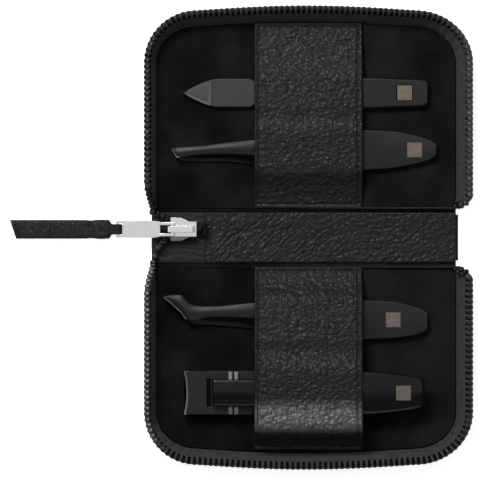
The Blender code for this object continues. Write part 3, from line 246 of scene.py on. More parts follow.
HALVES = (("lower", -1, "lower_half"), ("upper", 1, "upper_half"))
SUEDE_LOW, SUEDE_EDGE, SUEDE_INSET, SUEDE_FOLD = 2.2 * MM, 0.25 * MM, 0.3 * MM, 0.15 * MM
wall = foot_of_wall()
for half, side, body in HALVES:
    outline = [(wall_point(s, 0, -SUEDE_INSET, side), s[2]) for s in wall]
    left, right = outline[0][0].x, outline[-1][0].x
    outline = [(p, o) for p, o in outline if side * p.y > FOLD_LINE + SUEDE_FOLD + 2 * SUEDE_EDGE]
    fold_y = side * (FOLD_LINE + SUEDE_FOLD)
    outline.insert(0, (Vector((left, fold_y, 0)), Vector((-1, -1))))
    outline.append((Vector((right, fold_y, 0)), Vector((1, -1))))
    profiles = []
    for point, out in outline:
        out = Vector((out.x, side * out.y, 0))
        edge = Vector((point.x, point.y, SUEDE_LOW))
        shoulder = Vector((point.x, point.y, FLOOR_TOP - SUEDE_EDGE))
        crown = Vector((point.x, point.y, FLOOR_TOP)) - out * SUEDE_EDGE
        middle = (shoulder + crown) / 2 + (out * 0.2 + Vector((0, 0, 0.2))) * SUEDE_EDGE
        profiles.append((edge, shoulder, middle, crown))
    piece = new_piece(f"{half}_suede", panel_mesh(f"{half}_suede", profiles), suede, sharp=50)
    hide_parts(f"{half}_lining")
    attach(piece, body)

# Boards: grey fibreboard between the outer leather and the lining. Only their cut edges could show,
# so they stay as they are and get the colour and fine fibres of pressed board.
board, tree, shader, place = new_material("pressed_fibreboard", Roughness=0.9)
fibres = noise_over(tree, place, 0.6 * MM, 5.0)
coated(tree, shader, ramp(tree, fibres, (0.3, "#3a3835"), (0.7, "#55524d")))


def paint_node(name, material):
    """Gives a CAD node's mesh its material, and leaves its shape as it is."""
    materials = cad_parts[name].data.materials
    materials.clear()
    materials.append(material)


for name in ("lower_board", "upper_board", "spine_board"):
    paint_node(name, board)

# Outer cover: fine-grained black cowhide, pulled round the boards and up the lower part of the walls,
# with its top edge turned in and sewn to the zip tape.
COVER_THICK, COVER_GAP, COVER_EDGE = 0.8 * MM, 0.3 * MM, 0.95 * MM
TAPE_THICK, TOOTH_RISE, COVER_SHARE = 0.5 * MM, 2.0 * MM, 0.62
COVER_FLANGE, COVER_ROUND = 3.0 * MM, 0.9 * MM

# Cowhide with a fine pore grain: a soft gloss broken by small cells under a millimetre across
cowhide, tree, shader, place = new_material("fine_grain_cowhide", Specular_IOR_Level=0.3)
cells = node(tree, "ShaderNodeTexVoronoi", {"Vector": place, "Scale": 1 / (0.75 * MM)}, feature="SMOOTH_F1")
folds = noise_over(tree, place, 5 * MM, 6.0)
height = combined(tree, "ADD", cells.outputs["Distance"], folds)
colour = ramp(tree, folds, (0.3, "#0b0b0c"), (0.7, "#131314"))
gloss = ramp(tree, cells.outputs["Distance"], (0.1, 0.42), (0.7, 0.62))
coated(tree, shader, colour, gloss, height, strength=0.6, depth=0.12 * MM)


def tape_rise(station):
    return station[3] - TOOTH_RISE - COVER_GAP


def cover_top(station):
    return max(tape_rise(station), COVER_GAP) * COVER_SHARE


def cover_points(station, side, places):
    """Points for (outward, z, lean_rise) places: at height z, leaning as far as the wall at lean_rise."""
    points = [wall_point(station, lean_rise, outward, side) for outward, z, lean_rise in places]
    return [Vector((point.x, point.y, place[1])) for point, place in zip(points, places)]


for half, side, body in HALVES:
    inner = TAPE_THICK + COVER_GAP
    outer = inner + COVER_THICK
    flange = outer - COVER_FLANGE
    sections = []
    for s in [s for s in wall if s[0].y > COVER_EDGE]:
        top = cover_top(s)
        ground = []
        for turn in (0, 22.5, 45, 67.5, 90):
            a = math.radians(turn)
            reach = outer - COVER_ROUND * (1 - math.sin(a))
            ground.append((reach, COVER_ROUND * (1 - math.cos(a)), 0))
        rims = []
        for turn in (0, 45, 90, 135, 180):
            a = math.radians(turn)
            middle, half_thick = (inner + outer) / 2, COVER_THICK / 2
            rise = top - half_thick + half_thick * math.sin(a)
            rims.append((middle + half_thick * math.cos(a), FLOOR_TOP + rise, rise))
        places = [(flange, 0, 0), *ground, (outer, FLOOR_TOP, 0), *rims]
        places += [(inner, FLOOR_TOP, 0), (inner, COVER_THICK, 0), (flange, COVER_THICK, 0)]
        sections.append(cover_points(s, side, places))
    mesh = panel_mesh(f"{half}_outer_leather", sections)
    piece = new_piece(f"{half}_outer_leather", mesh, cowhide, sharp=60)
    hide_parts(f"{half}_cover")
    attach(piece, body)


def slab_mesh(name, ends, half, heights, edge, step, relief=lambda x, y: 0):
    """A slab with rounded edges whose top is a fine grid, raised by relief(x, y)."""
    (x0, x1), (y0, y1), (z0, z1) = ends, (-half, half), heights
    builder = bmesh.new()
    across = max(round((x1 - x0) / step), 1)
    along = max(round((y1 - y0) / step), 1)

    def rounded(value, low, high):
        return min(value - low, high - value, edge)

    rows = []
    for j in range(along + 1):
        row = []
        for i in range(across + 1):
            x, y = x0 + (x1 - x0) * i / across, y0 + (y1 - y0) * j / along
            inside = min(rounded(x, x0, x1), rounded(y, y0, y1)) / edge
            drop = edge * (1 - math.sqrt(max(1 - (1 - inside) ** 2, 0)))
            row.append(builder.verts.new((x, y, z1 - drop + relief(x, y) * smooth_step(inside))))
        rows.append(row)
    for near, far in zip(rows, rows[1:]):
        for i in range(across):
            builder.faces.new((near[i], near[i + 1], far[i + 1], far[i]))
    rim = rows[0] + [r[-1] for r in rows[1:]] + rows[-1][-2::-1] + [r[0] for r in rows[-2:0:-1]]
    base = [builder.verts.new((v.co.x, v.co.y, z0)) for v in rim]
    for i in range(len(rim)):
        k = (i + 1) % len(rim)
        builder.faces.new((rim[i], base[i], base[k], rim[k]))
    builder.faces.new(base)
    layer = builder.loops.layers.uv.new("run")
    for made in builder.faces:
        for corner in made.loops:
            corner[layer].uv = corner.vert.co.xy
    return closed_mesh(name, builder)


SPINE_LEFT, SPINE_RIGHT = -53.4 * MM, 51.0 * MM
SPINE_EDGE, SPINE_STEP = 0.2 * MM, 1.3 * MM
spine_ends, spine_half = (SPINE_LEFT, SPINE_RIGHT), FOLD_LINE - COVER_EDGE
mesh = slab_mesh("spine_leather", spine_ends, spine_half, (0, COVER_THICK), SPINE_EDGE, SPINE_STEP)
piece = new_piece("spine_outer_leather", mesh, cowhide)
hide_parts("spine_cover")
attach(piece, "spine")


def skin(builder, rings):
    """Joins closed rings of points in their order, with a flat cap at either end."""
    loops = [[builder.verts.new(point) for point in ring] for ring in rings]
    for near, far in zip(loops, loops[1:]):
        for k in range(len(near)):
            m = (k + 1) % len(near)
            builder.faces.new((near[k], near[m], far[m], far[k]))
    builder.faces.new(loops[0])
    builder.faces.new(loops[-1])


# The leather bends in a narrow strip at each fold line, and each strip is built here lying flat
BEND_INSET, BEND_STEPS = 0.8 * MM, 10
for half, side, body in HALVES:
    y0, y1 = sorted((side * (FOLD_LINE + COVER_EDGE), side * (FOLD_LINE - COVER_EDGE)))
    left, right = SPINE_LEFT + BEND_INSET, SPINE_RIGHT - BEND_INSET
    rings = []
    for i in range(BEND_STEPS + 1):
        y = y0 + (y1 - y0) * i / BEND_STEPS
        rings.append(((left, y, 0), (right, y, 0), (right, y, COVER_THICK), (left, y, COVER_THICK)))
    builder = bmesh.new()
    skin(builder, rings)
    piece = new_piece(f"{half}_bend_leather", closed_mesh(f"{half}_bend", builder), cowhide, smooth=False)
    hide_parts(f"{half}_fold_leather")
    a, b = ("lower_half", "spine") if side < 0 else ("spine", "upper_half")
    start, end = (0, y0, FLOOR_TOP), (0, y1, FLOOR_TOP)
    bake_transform(piece)

# Stitches: black waxed thread in small rounded stitches. One tree of nodes sets a shape on each
# station of a run, and it later sets the zip's teeth too.
STITCH_LONG, STITCH_WIDE, STITCH_PITCH = 1.7 * MM, 0.42 * MM, 2.3 * MM

# Waxed polyester thread: tight twisted plies with a low sheen
thread, tree, shader, place = new_material("waxed_thread", Roughness=0.5, Specular_IOR_Level=0.4)
plies = node(tree, "ShaderNodeTexWave", {"Vector": place, "Scale": 1 / (0.9 * MM), "Distortion": 1.0})
colour = ramp(tree, plies.outputs["Fac"], (0.2, "#0e0e0f"), (0.8, "#262628"))
coated(tree, shader, colour, height=plies.outputs["Fac"], depth=0.05 * MM)


def repeat_tree():
    """Sets one shape on every vertex, turned so that its X runs along and its Z points up."""
    made = bpy.data.node_groups.new("shape_on_stations", "GeometryNodeTree")
    face = made.interface
    face.new_socket("Geometry", in_out="INPUT", socket_type="NodeSocketGeometry")
    face.new_socket("Shape", in_out="INPUT", socket_type="NodeSocketObject")
    for name in ("Long", "Wide", "High"):
        face.new_socket(name, in_out="INPUT", socket_type="NodeSocketFloat")
    face.new_socket("Material", in_out="INPUT", socket_type="NodeSocketMaterial")
    face.new_socket("Geometry", in_out="OUTPUT", socket_type="NodeSocketGeometry")
    given = node(made, "NodeGroupInput")
    points = node(made, "GeometryNodeMeshToPoints", {"Mesh": given.outputs["Geometry"]})
    along = node(made, "GeometryNodeInputNamedAttribute", {"Name": "along"}, data_type="FLOAT_VECTOR")
    up = node(made, "GeometryNodeInputNamedAttribute", {"Name": "up"}, data_type="FLOAT_VECTOR")
    first = node(
        made, "FunctionNodeAlignRotationToVector", {"Vector": along.outputs["Attribute"]}, axis="X"
    )
    second = node(
        made,
        "FunctionNodeAlignRotationToVector",
        {"Rotation": first.outputs["Rotation"], "Vector": up.outputs["Attribute"]},
        axis="Z",
        pivot_axis="X",
    )
    sizes = {"X": given.outputs["Long"], "Y": given.outputs["Wide"], "Z": given.outputs["High"]}
    size = node(made, "ShaderNodeCombineXYZ", sizes)
    shape = node(made, "GeometryNodeObjectInfo", {"Object": given.outputs["Shape"]})
    placed = node(
        made,
        "GeometryNodeInstanceOnPoints",
        {
            "Points": points.outputs["Points"],
            "Instance": shape.outputs["Geometry"],
            "Rotation": second.outputs["Rotation"],
            "Scale": size.outputs["Vector"],
        },
    )
    real = node(made, "GeometryNodeRealizeInstances", {"Geometry": placed.outputs["Instances"]})
    painted = node(
        made,
        "GeometryNodeSetMaterial",
        {"Geometry": real.outputs["Geometry"], "Material": given.outputs["Material"]},
    )
    node(made, "NodeGroupOutput", {"Geometry": painted.outputs["Geometry"]})
    return made


REPEAT = repeat_tree()


def repeated(name, stations, shape, sizes, material):
    """Plain mesh of a shape repeated on (point, along, up) stations, at these real sizes."""
    mesh = bpy.data.meshes.new(name)
    mesh.from_pydata([s[0] for s in stations], [], [])
    for key, index in (("along", 1), ("up", 2)):
        attribute = mesh.attributes.new(key, "FLOAT_VECTOR", "POINT")
        attribute.data.foreach_set("vector", [c for s in stations for c in s[index]])
    carrier = add_object(f"{name}_stations", mesh)
    form = add_object(f"{name}_shape", shape)
    modifier = carrier.modifiers.new("repeat", "NODES")
    modifier.node_group = REPEAT
    values = {"Shape": form, "Material": material}
    values.update(zip(("Long", "Wide", "High"), sizes))
    for item in REPEAT.interface.items_tree:
        if item.in_out == "INPUT" and item.name in values:
            modifier[item.identifier] = values[item.name]
    carrier.update_tag()
    graph = bpy.context.evaluated_depsgraph_get()
    result = bpy.data.meshes.new_from_object(carrier.evaluated_get(graph), depsgraph=graph)
    bpy.data.objects.remove(carrier)
    bpy.data.objects.remove(form)
    result.name = name
    for polygon in result.polygons:
        polygon.use_smooth = True
    return add_object(name, result)


def rounded_unit_bar():
    """A bar one unit long, wide and high, with rounded ends, for a stitch."""
    builder = bmesh.new()
    rings = []
    for x, size in ((-0.5, 0.35), (-0.36, 0.85), (0.0, 1.0), (0.36, 0.85), (0.5, 0.35)):
        turns = [math.radians(60 * k) for k in range(6)]
        rings.append([(x, 0.5 * size * math.cos(t), 0.5 * size * math.sin(t)) for t in turns])
    skin(builder, rings)
    return closed_mesh("unit_bar", builder)


def evenly(points, ups, pitch):
    """Stations at an even pitch along a line of points, each with its direction and its up."""
    runs = [0.0]
    for a, b in zip(points, points[1:]):
        runs.append(runs[-1] + (b - a).length)
    count = max(round(runs[-1] / pitch), 1)
    found, i = [], 0
    for k in range(count):
        run = runs[-1] * (k + 0.5) / count
        while run > runs[i + 1]:
            i += 1
        share = (run - runs[i]) / (runs[i + 1] - runs[i])
        along = (points[i + 1] - points[i]).normalized()
        up = ups[i].lerp(ups[i + 1], share).normalized()
        found.append((points[i].lerp(points[i + 1], share), along, up))
    return found


def wall_normal(station, side):
    """Outward direction of the leaning wall, square to its slope."""
    lean = station[1] / RIM_RISE
    slope = lean.dot(station[2])
    return Vector((station[2].x, side * station[2].y, -slope)).normalized()


# The seam runs this far below the cover's edge, just off the leather, where the cover is high enough
SEAM_DOWN, SEAM_OFF, SEAM_LEAST = 1.3 * MM, 0.05 * MM, 2.4 * MM
STITCH_SIZES = (STITCH_LONG, STITCH_WIDE, STITCH_WIDE)
for half, side, body in HALVES:
    stations = [s for s in wall if cover_top(s) > SEAM_LEAST]
    out = TAPE_THICK + COVER_GAP + COVER_THICK + SEAM_OFF
    line = [wall_point(s, cover_top(s) - SEAM_DOWN, out, side) for s in stations]
    found = evenly(line, [wall_normal(s, side) for s in stations], STITCH_PITCH)
    piece = repeated(f"{half}_cover_stitches", found, rounded_unit_bar(), STITCH_SIZES, thread)
    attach(piece, body)

# Zip tape: black polyester woven in a herringbone, standing as the inner face of each wall. It is
# sewn in at its foot, and it puckers a little where it turns the corners.
TAPE_LOW, WEAVE, TAPE_ROWS = 1.1 * MM, 0.75 * MM, 9
TAPE_SEAM_UP, TAPE_SEAM_OFF, TAPE_SEAM_LEAST = 1.5 * MM, 0.02 * MM, 2.6 * MM

# Woven polyester: fine diagonal ribs that change direction in narrow columns, with a satin sheen
tape, tree, shader, place = new_material(
    "herringbone_tape", Roughness=0.6, Specular_IOR_Level=0.2, Sheen_Weight=0.06
)
uv = node(tree, "ShaderNodeTexCoord").outputs["UV"]
parts = node(tree, "ShaderNodeSeparateXYZ", {"Vector": uv})
column = combined(tree, "PINGPONG", parts.outputs["Y"], WEAVE * 2)
slant = combined(tree, "ADD", parts.outputs["X"], column)
rib = combined(tree, "SINE", combined(tree, "MULTIPLY", slant, 2 * math.pi / WEAVE))
ribs = combined(tree, "MULTIPLY_ADD", rib, 0.5, 0.5)
wear = noise_over(tree, place, 3 * MM, 4.0)
tone = node(tree, "ShaderNodeMix", {"Factor": 0.5, "A": ribs, "B": wear}).outputs[0]
colour = ramp(tree, tone, (0.2, "#262627"), (0.8, "#434346"))
coated(tree, shader, colour, height=ribs, strength=0.5, depth=0.08 * MM)


def ribbon_mesh(name, sections):
    """A closed ribbon through closed sections, with a UV map in metres along and across."""
    builder = bmesh.new()
    layer = builder.loops.layers.uv.new("run")
    loops = [[builder.verts.new(p) for p in section] for section in sections]
    runs = [0.0]
    for a, b in zip(sections, sections[1:]):
        runs.append(runs[-1] + (b[0] - a[0]).length)
    around = [0.0]
    middle = sections[len(sections) // 2]
    for a, b in zip(middle, middle[1:] + middle[:1]):
        around.append(around[-1] + (b - a).length)
    count = len(middle)
    for i in range(len(loops) - 1):
        for j in range(count):
            k = (j + 1) % count
            made = builder.faces.new((loops[i][j], loops[i][k], loops[i + 1][k], loops[i + 1][j]))
            places = ((i, j), (i, j + 1), (i + 1, j + 1), (i + 1, j))
            for corner, (a, b) in zip(made.loops, places):
                corner[layer].uv = (runs[a], around[b])
    builder.faces.new(loops[0])
    builder.faces.new(loops[-1])
    return closed_mesh(name, builder)


def pucker(station, run, share):
    """How far the tape waves in and out: mostly at the corners, and least at its sewn foot."""
    bent = 4 * abs(station[2].x * station[2].y)
    wave = math.sin(2 * math.pi * run / (3.1 * MM) + 3 * noise.noise(Vector((run / (9 * MM), 0, 2))))
    drift = noise.noise(Vector((run / (7 * MM), share, 5)))
    return (0.16 * bent * wave + 0.14 * drift) * MM * smooth_step(share * 1.6)


for half, side, body in HALVES:
    sections, run = [], 0.0
    for i, s in enumerate(wall):
        if i:
            run += (s[0] - wall[i - 1][0]).length
        top = max(tape_rise(s), COVER_GAP / 3)
        low = TAPE_LOW - FLOOR_TOP
        shares = [k / TAPE_ROWS for k in range(TAPE_ROWS + 1)]
        section = []
        for share, out in [(a, 0.0) for a in shares] + [(1 - a, TAPE_THICK) for a in shares]:
            rise = low + (top - low) * share
            section.append(wall_point(s, rise, out + pucker(s, run, share), side))
        sections.append(section)
    piece = new_piece(f"{half}_tape", ribbon_mesh(f"{half}_tape", sections), tape, sharp=60)
    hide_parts(f"{half}_zip_tape")
    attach(piece, body)
    stations = [s for s in wall if tape_rise(s) > TAPE_SEAM_LEAST]
    line = [wall_point(s, TAPE_SEAM_UP, -TAPE_SEAM_OFF, side) for s in stations]
    found = evenly(line, [-wall_normal(s, side) for s in stations], STITCH_PITCH)
    piece = repeated(f"{half}_tape_stitches", found, rounded_unit_bar(), STITCH_SIZES, thread)
    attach(piece, body)

# Zip teeth: stamped metal teeth with a dark plating, each clamped over the tape's corded edge. They
# stand on the leaning wall, so the open case shows their ends round the rim.
TOOTH_PITCH, TOOTH_LONG, TOOTH_WIDE, TOOTH_HIGH = 1.85 * MM, 1.3 * MM, 2.0 * MM, 2.3 * MM

# Black plated brass in uneven brighter stretches, and brighter still down the left of the lower half
# and the right of the upper half: painted highlight, where those sides of the rim catch the light
teeth_metal, tree, shader, place = new_material("plated_zip_teeth", Metallic=1.0)
rub = noise_over(tree, place, 1.6 * MM, 3.0)
parts = node(tree, "ShaderNodeSeparateXYZ", {"Vector": place})
reach = combined(tree, "ABSOLUTE", parts.outputs["X"])
sides = spread(tree, reach, (46 * MM, 53 * MM), (0.0, 1.0))
product = combined(tree, "MULTIPLY", parts.outputs["X"], parts.outputs["Y"])
# Painted highlight: the lower half's left and the upper half's right are made brighter
painted_highlight_corners = spread(tree, product, (-0.0002, 0.0008), (0.13, 0.3))
amount = combined(tree, "MULTIPLY_ADD", rub, 0.5, combined(tree, "MULTIPLY", sides, painted_highlight_corners))
colour = ramp(tree, amount, (0.2, "#111112"), (0.34, "#242427"), (0.5, "#4b4b4f"), (0.75, "#909095"))
coated(tree, shader, colour, ramp(tree, rub, (0.3, 0.44), (0.7, 0.6)))

TOOTH_CORNERS = ((1, 0.55), (0.6, 1), (-0.6, 1), (-1, 0.55), (-1, -0.55), (-0.6, -1), (0.6, -1), (1, -0.55))


def unit_tooth():
    """One tooth in a unit box standing on its clamp, with a rounded head above."""
    builder = bmesh.new()
    rings = []
    for z, long, wide in ((0.0, 0.8, 0.9), (0.08, 1.0, 1.0), (0.92, 1.0, 1.0), (1.0, 0.84, 0.82)):
        rings.append([(0.5 * long * sx, 0.5 * wide * sy, z) for sx, sy in TOOTH_CORNERS])
    skin(builder, rings)
    return closed_mesh("unit_tooth", builder)


TOOTH_SIZES = (TOOTH_LONG, TOOTH_WIDE, TOOTH_HIGH)
CORD_OUT, CORD_UP, CORD_DOWN, CORD_MID = 1.05 * MM, 1.0 * MM, 0.85 * MM, 1.3 * MM
# The cord and the teeth stop this many steps before the end of the wall
CORD_STOP, TEETH_STOP = 4, 6
for half, side, body in HALVES:
    sections = []
    for s in wall[:-CORD_STOP]:
        section = []
        for k in range(12):
            a = math.radians(30 * k)
            high = CORD_UP if math.sin(a) > 0 else CORD_DOWN
            rise = s[3] - CORD_MID + high * math.sin(a)
            section.append(wall_point(s, rise, TAPE_THICK / 2 + CORD_OUT * math.cos(a), side))
        sections.append(section)
    piece = new_piece(f"{half}_tape_cord", ribbon_mesh(f"{half}_tape_cord", sections), tape, sharp=60)
    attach(piece, body)
    row = wall[:-TEETH_STOP]
    line = [wall_point(s, s[3] - TOOTH_HIGH, TAPE_THICK / 2, side) for s in row]
    ups = [Vector((s[1].x, side * s[1].y, RIM_RISE)).normalized() for s in row]
    piece = repeated(f"{half}_teeth", evenly(line, ups, TOOTH_PITCH), unit_tooth(), TOOTH_SIZES, teeth_metal)
    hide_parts(f"{half}_zip_teeth")
    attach(piece, body)
    paint_node(f"{half}_top_stop", teeth_metal)

# Bands: pebbled black cowhide, folded to a double thickness and sewn to the floor at both ends. Each
# humps over its two tools, with a creased line inside each long edge.
BAND_HALF, BAND_THICK, BAND_NEAR = 18.4 * MM, 1.1 * MM, 1.2 * MM
BAND_FARS = {"lower": 63.5 * MM, "upper": 64.4 * MM}
BAND_SLOPE, BAND_ROOM, BAND_GAP, BAND_SEWN, BAND_TAUT = 0.85, 0.6 * MM, 0.3 * MM, 2.2 * MM, 0.8
BAND_CELL, BAND_COLUMNS_BELOW = 0.34 * MM, 8
# Each tool under a band: its middle from the fold line, half its width, and its top
UNDER_BANDS = {
    "upper": ((21.05 * MM, 6.77 * MM, 7.8 * MM), (40.45 * MM, 5.45 * MM, 6.2 * MM)),
    "lower": ((19.25 * MM, 6.63 * MM, 7.8 * MM), (44.05 * MM, 7.35 * MM, 11.9 * MM)),
}
PEBBLE_LONG, PEBBLE_SHORT, PEBBLE_DEEP, FINE_GRAIN = 1.6 * MM, 1.3 * MM, 0.34 * MM, 0.7 * MM
EDGE_ROUND, EDGE_RUN = 0.5 * MM, 0.7 * MM
CREASE_IN, CREASE_DEEP, CREASE_WIDE = 1.5 * MM, 0.36 * MM, 0.3 * MM
SWELL_IN, SWELL_HIGH, SWELL_WIDE = 0.7 * MM, 0.14 * MM, 0.4 * MM
# The grain is sunk by this much, so that its crowns end at the leather's thickness
GRAIN_SUNK = 0.15 * MM
# Beyond the high clipper the stiff leather stands out in a roll before it turns down
ROLL_FROM, ROLL_CLIMB_FROM, ROLL_CLIMB_RUN, ROLL_HIGH = 45 * MM, 46 * MM, 11 * MM, 1.6 * MM
TURN_DOWN_FROM, TURN_DOWN_RUN, HIGH_TOOL = 56.0 * MM, 5.6 * MM, 10 * MM

# Pebbled cowhide: the large cells of its shrunken grain are in the mesh, and this adds the fine
# secondary grain with glossy crowns, dull creases and pores
pebbled, tree, shader, place = new_material("pebbled_cowhide")
warp = node(tree, "ShaderNodeTexNoise", {"Vector": place, "Scale": 1 / (3.2 * MM), "Detail": 2.0})
middle = (0.5, 0.5, 0.5)
shift = node(tree, "ShaderNodeVectorMath", {0: warp.outputs["Color"], 1: middle}, operation="SUBTRACT")
warped = {0: shift.outputs[0], 1: (1.4 * MM,) * 3, 2: place}
moved = node(tree, "ShaderNodeVectorMath", warped, operation="MULTIPLY_ADD")
cells = node(
    tree,
    "ShaderNodeTexVoronoi",
    {"Vector": moved.outputs[0], "Scale": 1 / FINE_GRAIN, "Smoothness": 0.3},
    feature="SMOOTH_F1",
)
pores = node(tree, "ShaderNodeTexVoronoi", {"Vector": place, "Scale": 1 / (0.45 * MM)}, feature="F1")
crown = combined(tree, "SUBTRACT", 0.75, cells.outputs["Distance"])
height = combined(tree, "MULTIPLY_ADD", pores.outputs["Distance"], -0.12, crown)
colour = ramp(tree, crown, (0.05, "#0a0a0a"), (0.35, "#131313"), (0.7, "#1b1b1b"))
gloss = ramp(tree, crown, (0.1, 0.7), (0.6, 0.36))
# The far flank over the clipper is rubbed shiny
parts = node(tree, "ShaderNodeSeparateXYZ", {"Vector": place})
flank = spread(tree, parts.outputs["Y"], (-68 * MM, -53 * MM), (0.0, 1.0))
rubbed = ramp(tree, flank, (0.1, 0.26), (0.3, 1.0), (0.6, 1.0), (0.9, 0.26))
tree.links.new(rubbed, shader.inputs["Specular IOR Level"])
# Past the flank the turned-down end is made paler, up to 2.6 times: painted light over the shade of a
# face turned away from the lamps
painted_light_lift = spread(tree, parts.outputs["Y"], (-67 * MM, -63 * MM), (2.6, 1.0))
colour = node(tree, "ShaderNodeVectorMath", {0: colour, "Scale": painted_light_lift}, operation="SCALE").outputs["Vector"]
coated(tree, shader, colour, gloss, height, strength=0.4, depth=0.1 * MM)


def hill(x, middle, width):
    """A smooth hill: 1 at its middle, and next to nothing twice this width away."""
    return math.exp(-(((x - middle) / width) ** 2))


def creases(x, y, seed, stretch, angle=0.0):
    """Soft drawn-out wrinkles of real leather, up to about a third of a millimetre deep."""
    c, s = math.cos(angle), math.sin(angle)
    u, w = (x * c + y * s) / (stretch[0] * MM), (y * c - x * s) / (stretch[1] * MM)
    bend = 0.6 * noise.noise(Vector((u * 0.6, w * 0.4, seed + 3)))
    furrow = hill(noise.noise(Vector((u, w + bend, seed))), 0, 0.09)
    patch = smooth_step(0.6 + 1.6 * noise.noise(Vector((u * 0.45, w * 0.25, seed + 5))))
    fine = noise.noise(Vector((u * 2.3, w * 2.1, seed + 7)))
    return (0.15 - 0.3 * furrow * patch + 0.1 * fine) * MM


def pebble_relief(x, y, seed):
    """Rounded cells of shrunken grain: how far the furrows between them are sunk."""
    bend = noise.noise(Vector((x / (5 * MM), y / (4 * MM), seed)))
    place = Vector((x / PEBBLE_LONG + bend, y / PEBBLE_SHORT + 0.7 * bend, seed))
    nearest = noise.voronoi(place, distance_metric="DISTANCE", exponent=2.5)[0]
    furrow = 1 - smooth_step((nearest[1] - nearest[0]) / 0.5)
    return -PEBBLE_DEEP * (0.45 * furrow + 0.55 * smooth_step(nearest[0] / 0.8))


def draped(v, tools):
    """Height of the band's underside if it clung to each tool."""
    rise = BAND_GAP
    for middle, half_width, top in tools:
        high = top - FLOOR_TOP
        away = (abs(v - middle) - half_width - BAND_ROOM) / (high * BAND_SLOPE)
        rise = max(rise, BAND_GAP + high * (1 - smooth_step(away)))
    return rise


def taut(v, tools, far):
    """Height of the band's underside if it were stretched over the tools like a string."""
    corners = [(BAND_NEAR + BAND_SEWN, BAND_GAP)]
    for middle, half_width, top in tools:
        high = top - FLOOR_TOP + BAND_GAP
        corners += [(middle - half_width - BAND_ROOM, high), (middle + half_width + BAND_ROOM, high)]
    corners.append((far - BAND_SEWN, BAND_GAP))
    rise = BAND_GAP
    for i, (v0, h0) in enumerate(corners):
        for v1, h1 in corners[i + 1 :]:
            if v0 <= v <= v1:
                rise = max(rise, h0 + (h1 - h0) * (v - v0) / (v1 - v0))
    return rise


def band_underside(v, tools, far):
    """Height of the band's underside: mostly taut, a little draped, and rolled over the high clipper."""
    low = draped(v, tools)
    rise = low + BAND_TAUT * (taut(v, tools, far) - low)
    if tools[1][2] > HIGH_TOOL and v > ROLL_FROM:
        turned_down = 1 - smooth_step((v - TURN_DOWN_FROM) / TURN_DOWN_RUN)
        climb = smooth_step((v - ROLL_CLIMB_FROM) / ROLL_CLIMB_RUN)
        roll = tools[1][2] - FLOOR_TOP + BAND_GAP + ROLL_HIGH * climb * turned_down
        rise = BAND_GAP + (roll - BAND_GAP) * turned_down
    return FLOOR_TOP + rise


for half, side, body in HALVES:
    tools, far = UNDER_BANDS[half], BAND_FARS[half]
    crease_seed, pebble_seed = (3, 5) if side > 0 else (11, 9)
    rows = round((far - BAND_NEAR) / BAND_CELL)
    columns = round(2 * BAND_HALF / BAND_CELL)
    sections = []
    for i in range(rows + 1):
        v = BAND_NEAR + (far - BAND_NEAR) * i / rows
        # Smoothed over eleven samples, but never sunk far below the height it has without smoothing
        h = 0.4 * MM
        near = [band_underside(v + k * h, tools, far) for k in range(-5, 6)]
        low = max(sum(near) / len(near), near[5] - 0.15 * MM)
        slope = (near[-2] - near[1]) / (8 * h)
        lift = Vector((-slope, 1)).normalized()
        end = min(i, rows - i) * BAND_CELL
        section = []
        for k in range(BAND_COLUMNS_BELOW + 1):
            x = -BAND_HALF + 2 * BAND_HALF * k / BAND_COLUMNS_BELOW
            section.append(Vector((x, side * (FOLD_LINE + v), low)))
        for k in range(columns + 1):
            x = BAND_HALF - 2 * BAND_HALF * k / columns
            inside = min(BAND_HALF - abs(x), end)
            round_off = EDGE_ROUND * (1 - smooth_step(inside / EDGE_RUN)) ** 2
            line = hill(inside, CREASE_IN, CREASE_WIDE) * CREASE_DEEP
            swell = SWELL_HIGH * hill(inside, SWELL_IN, SWELL_WIDE)
            grain = creases(x, v, crease_seed, (3.4, 1.25)) * smooth_step((inside - CREASE_IN) / (0.6 * MM))
            grain += pebble_relief(x, v, pebble_seed) * smooth_step((inside - 0.3 * MM) / (0.5 * MM))
            thick = BAND_THICK - round_off - line + swell + grain - GRAIN_SUNK
            flat = side * (FOLD_LINE + v + lift.x * thick)
            section.append(Vector((x, flat, low + lift.y * thick)))
        sections.append(section)
    piece = new_piece(f"{half}_strap", ribbon_mesh(f"{half}_strap", sections), pebbled, sharp=75)
    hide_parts(f"{half}_band")
    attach(piece, body)

# Lining of the spine: one strip of the same pebbled cowhide, wrinkled where the case folds, and
# sewn down in a double row at its left end. Left of it the ends of the zip tape are sewn down flat.
LINING_LOW = 2.2 * MM
STRIP_LEFT, STRIP_RIGHT, PATCH_LEFT = -34.9 * MM, 50.2 * MM, -52.6 * MM
STRIP_HALF = FOLD_LINE - 0.15 * MM
STRIP_HEIGHTS, STRIP_EDGE, STRIP_STEP = (LINING_LOW, FLOOR_TOP), 0.35 * MM, 0.34 * MM
SEAM_INS, SEAM_WIDE, SEAM_DEEP = (0.8 * MM, 2.1 * MM), 0.22 * MM, 0.25 * MM


def spine_relief(x, y):
    to_right = smooth_step((x + 2 * MM) / (22 * MM))
    slanted = creases(x, y, 21, (6.0, 1.4), math.radians(40)) * 1.6 * (1 - 0.7 * to_right)
    level = creases(x, y, 17, (7.0, 1.6), math.radians(8)) * (0.3 + 0.7 * to_right)
    hollow = -0.1 * MM * math.cos(math.pi * y / STRIP_HALF)
    seams = sum(hill(x - STRIP_LEFT, d, SEAM_WIDE) for d in SEAM_INS)
    grain = pebble_relief(x, y, 13) * 0.8
    return min(slanted + level + hollow, 0.3 * MM) + grain - 0.2 * MM - SEAM_DEEP * seams


ends = (STRIP_LEFT, STRIP_RIGHT)
mesh = slab_mesh("spine_strip", ends, STRIP_HALF, STRIP_HEIGHTS, STRIP_EDGE, STRIP_STEP, spine_relief)
piece = new_piece("spine_strip", mesh, pebbled)
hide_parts("spine_lining")
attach(piece, "spine")


def patch_relief(x, y):
    return creases(x, y, 29, (6.0, 1.9), math.radians(-8)) * 2.2 - 0.45 * MM


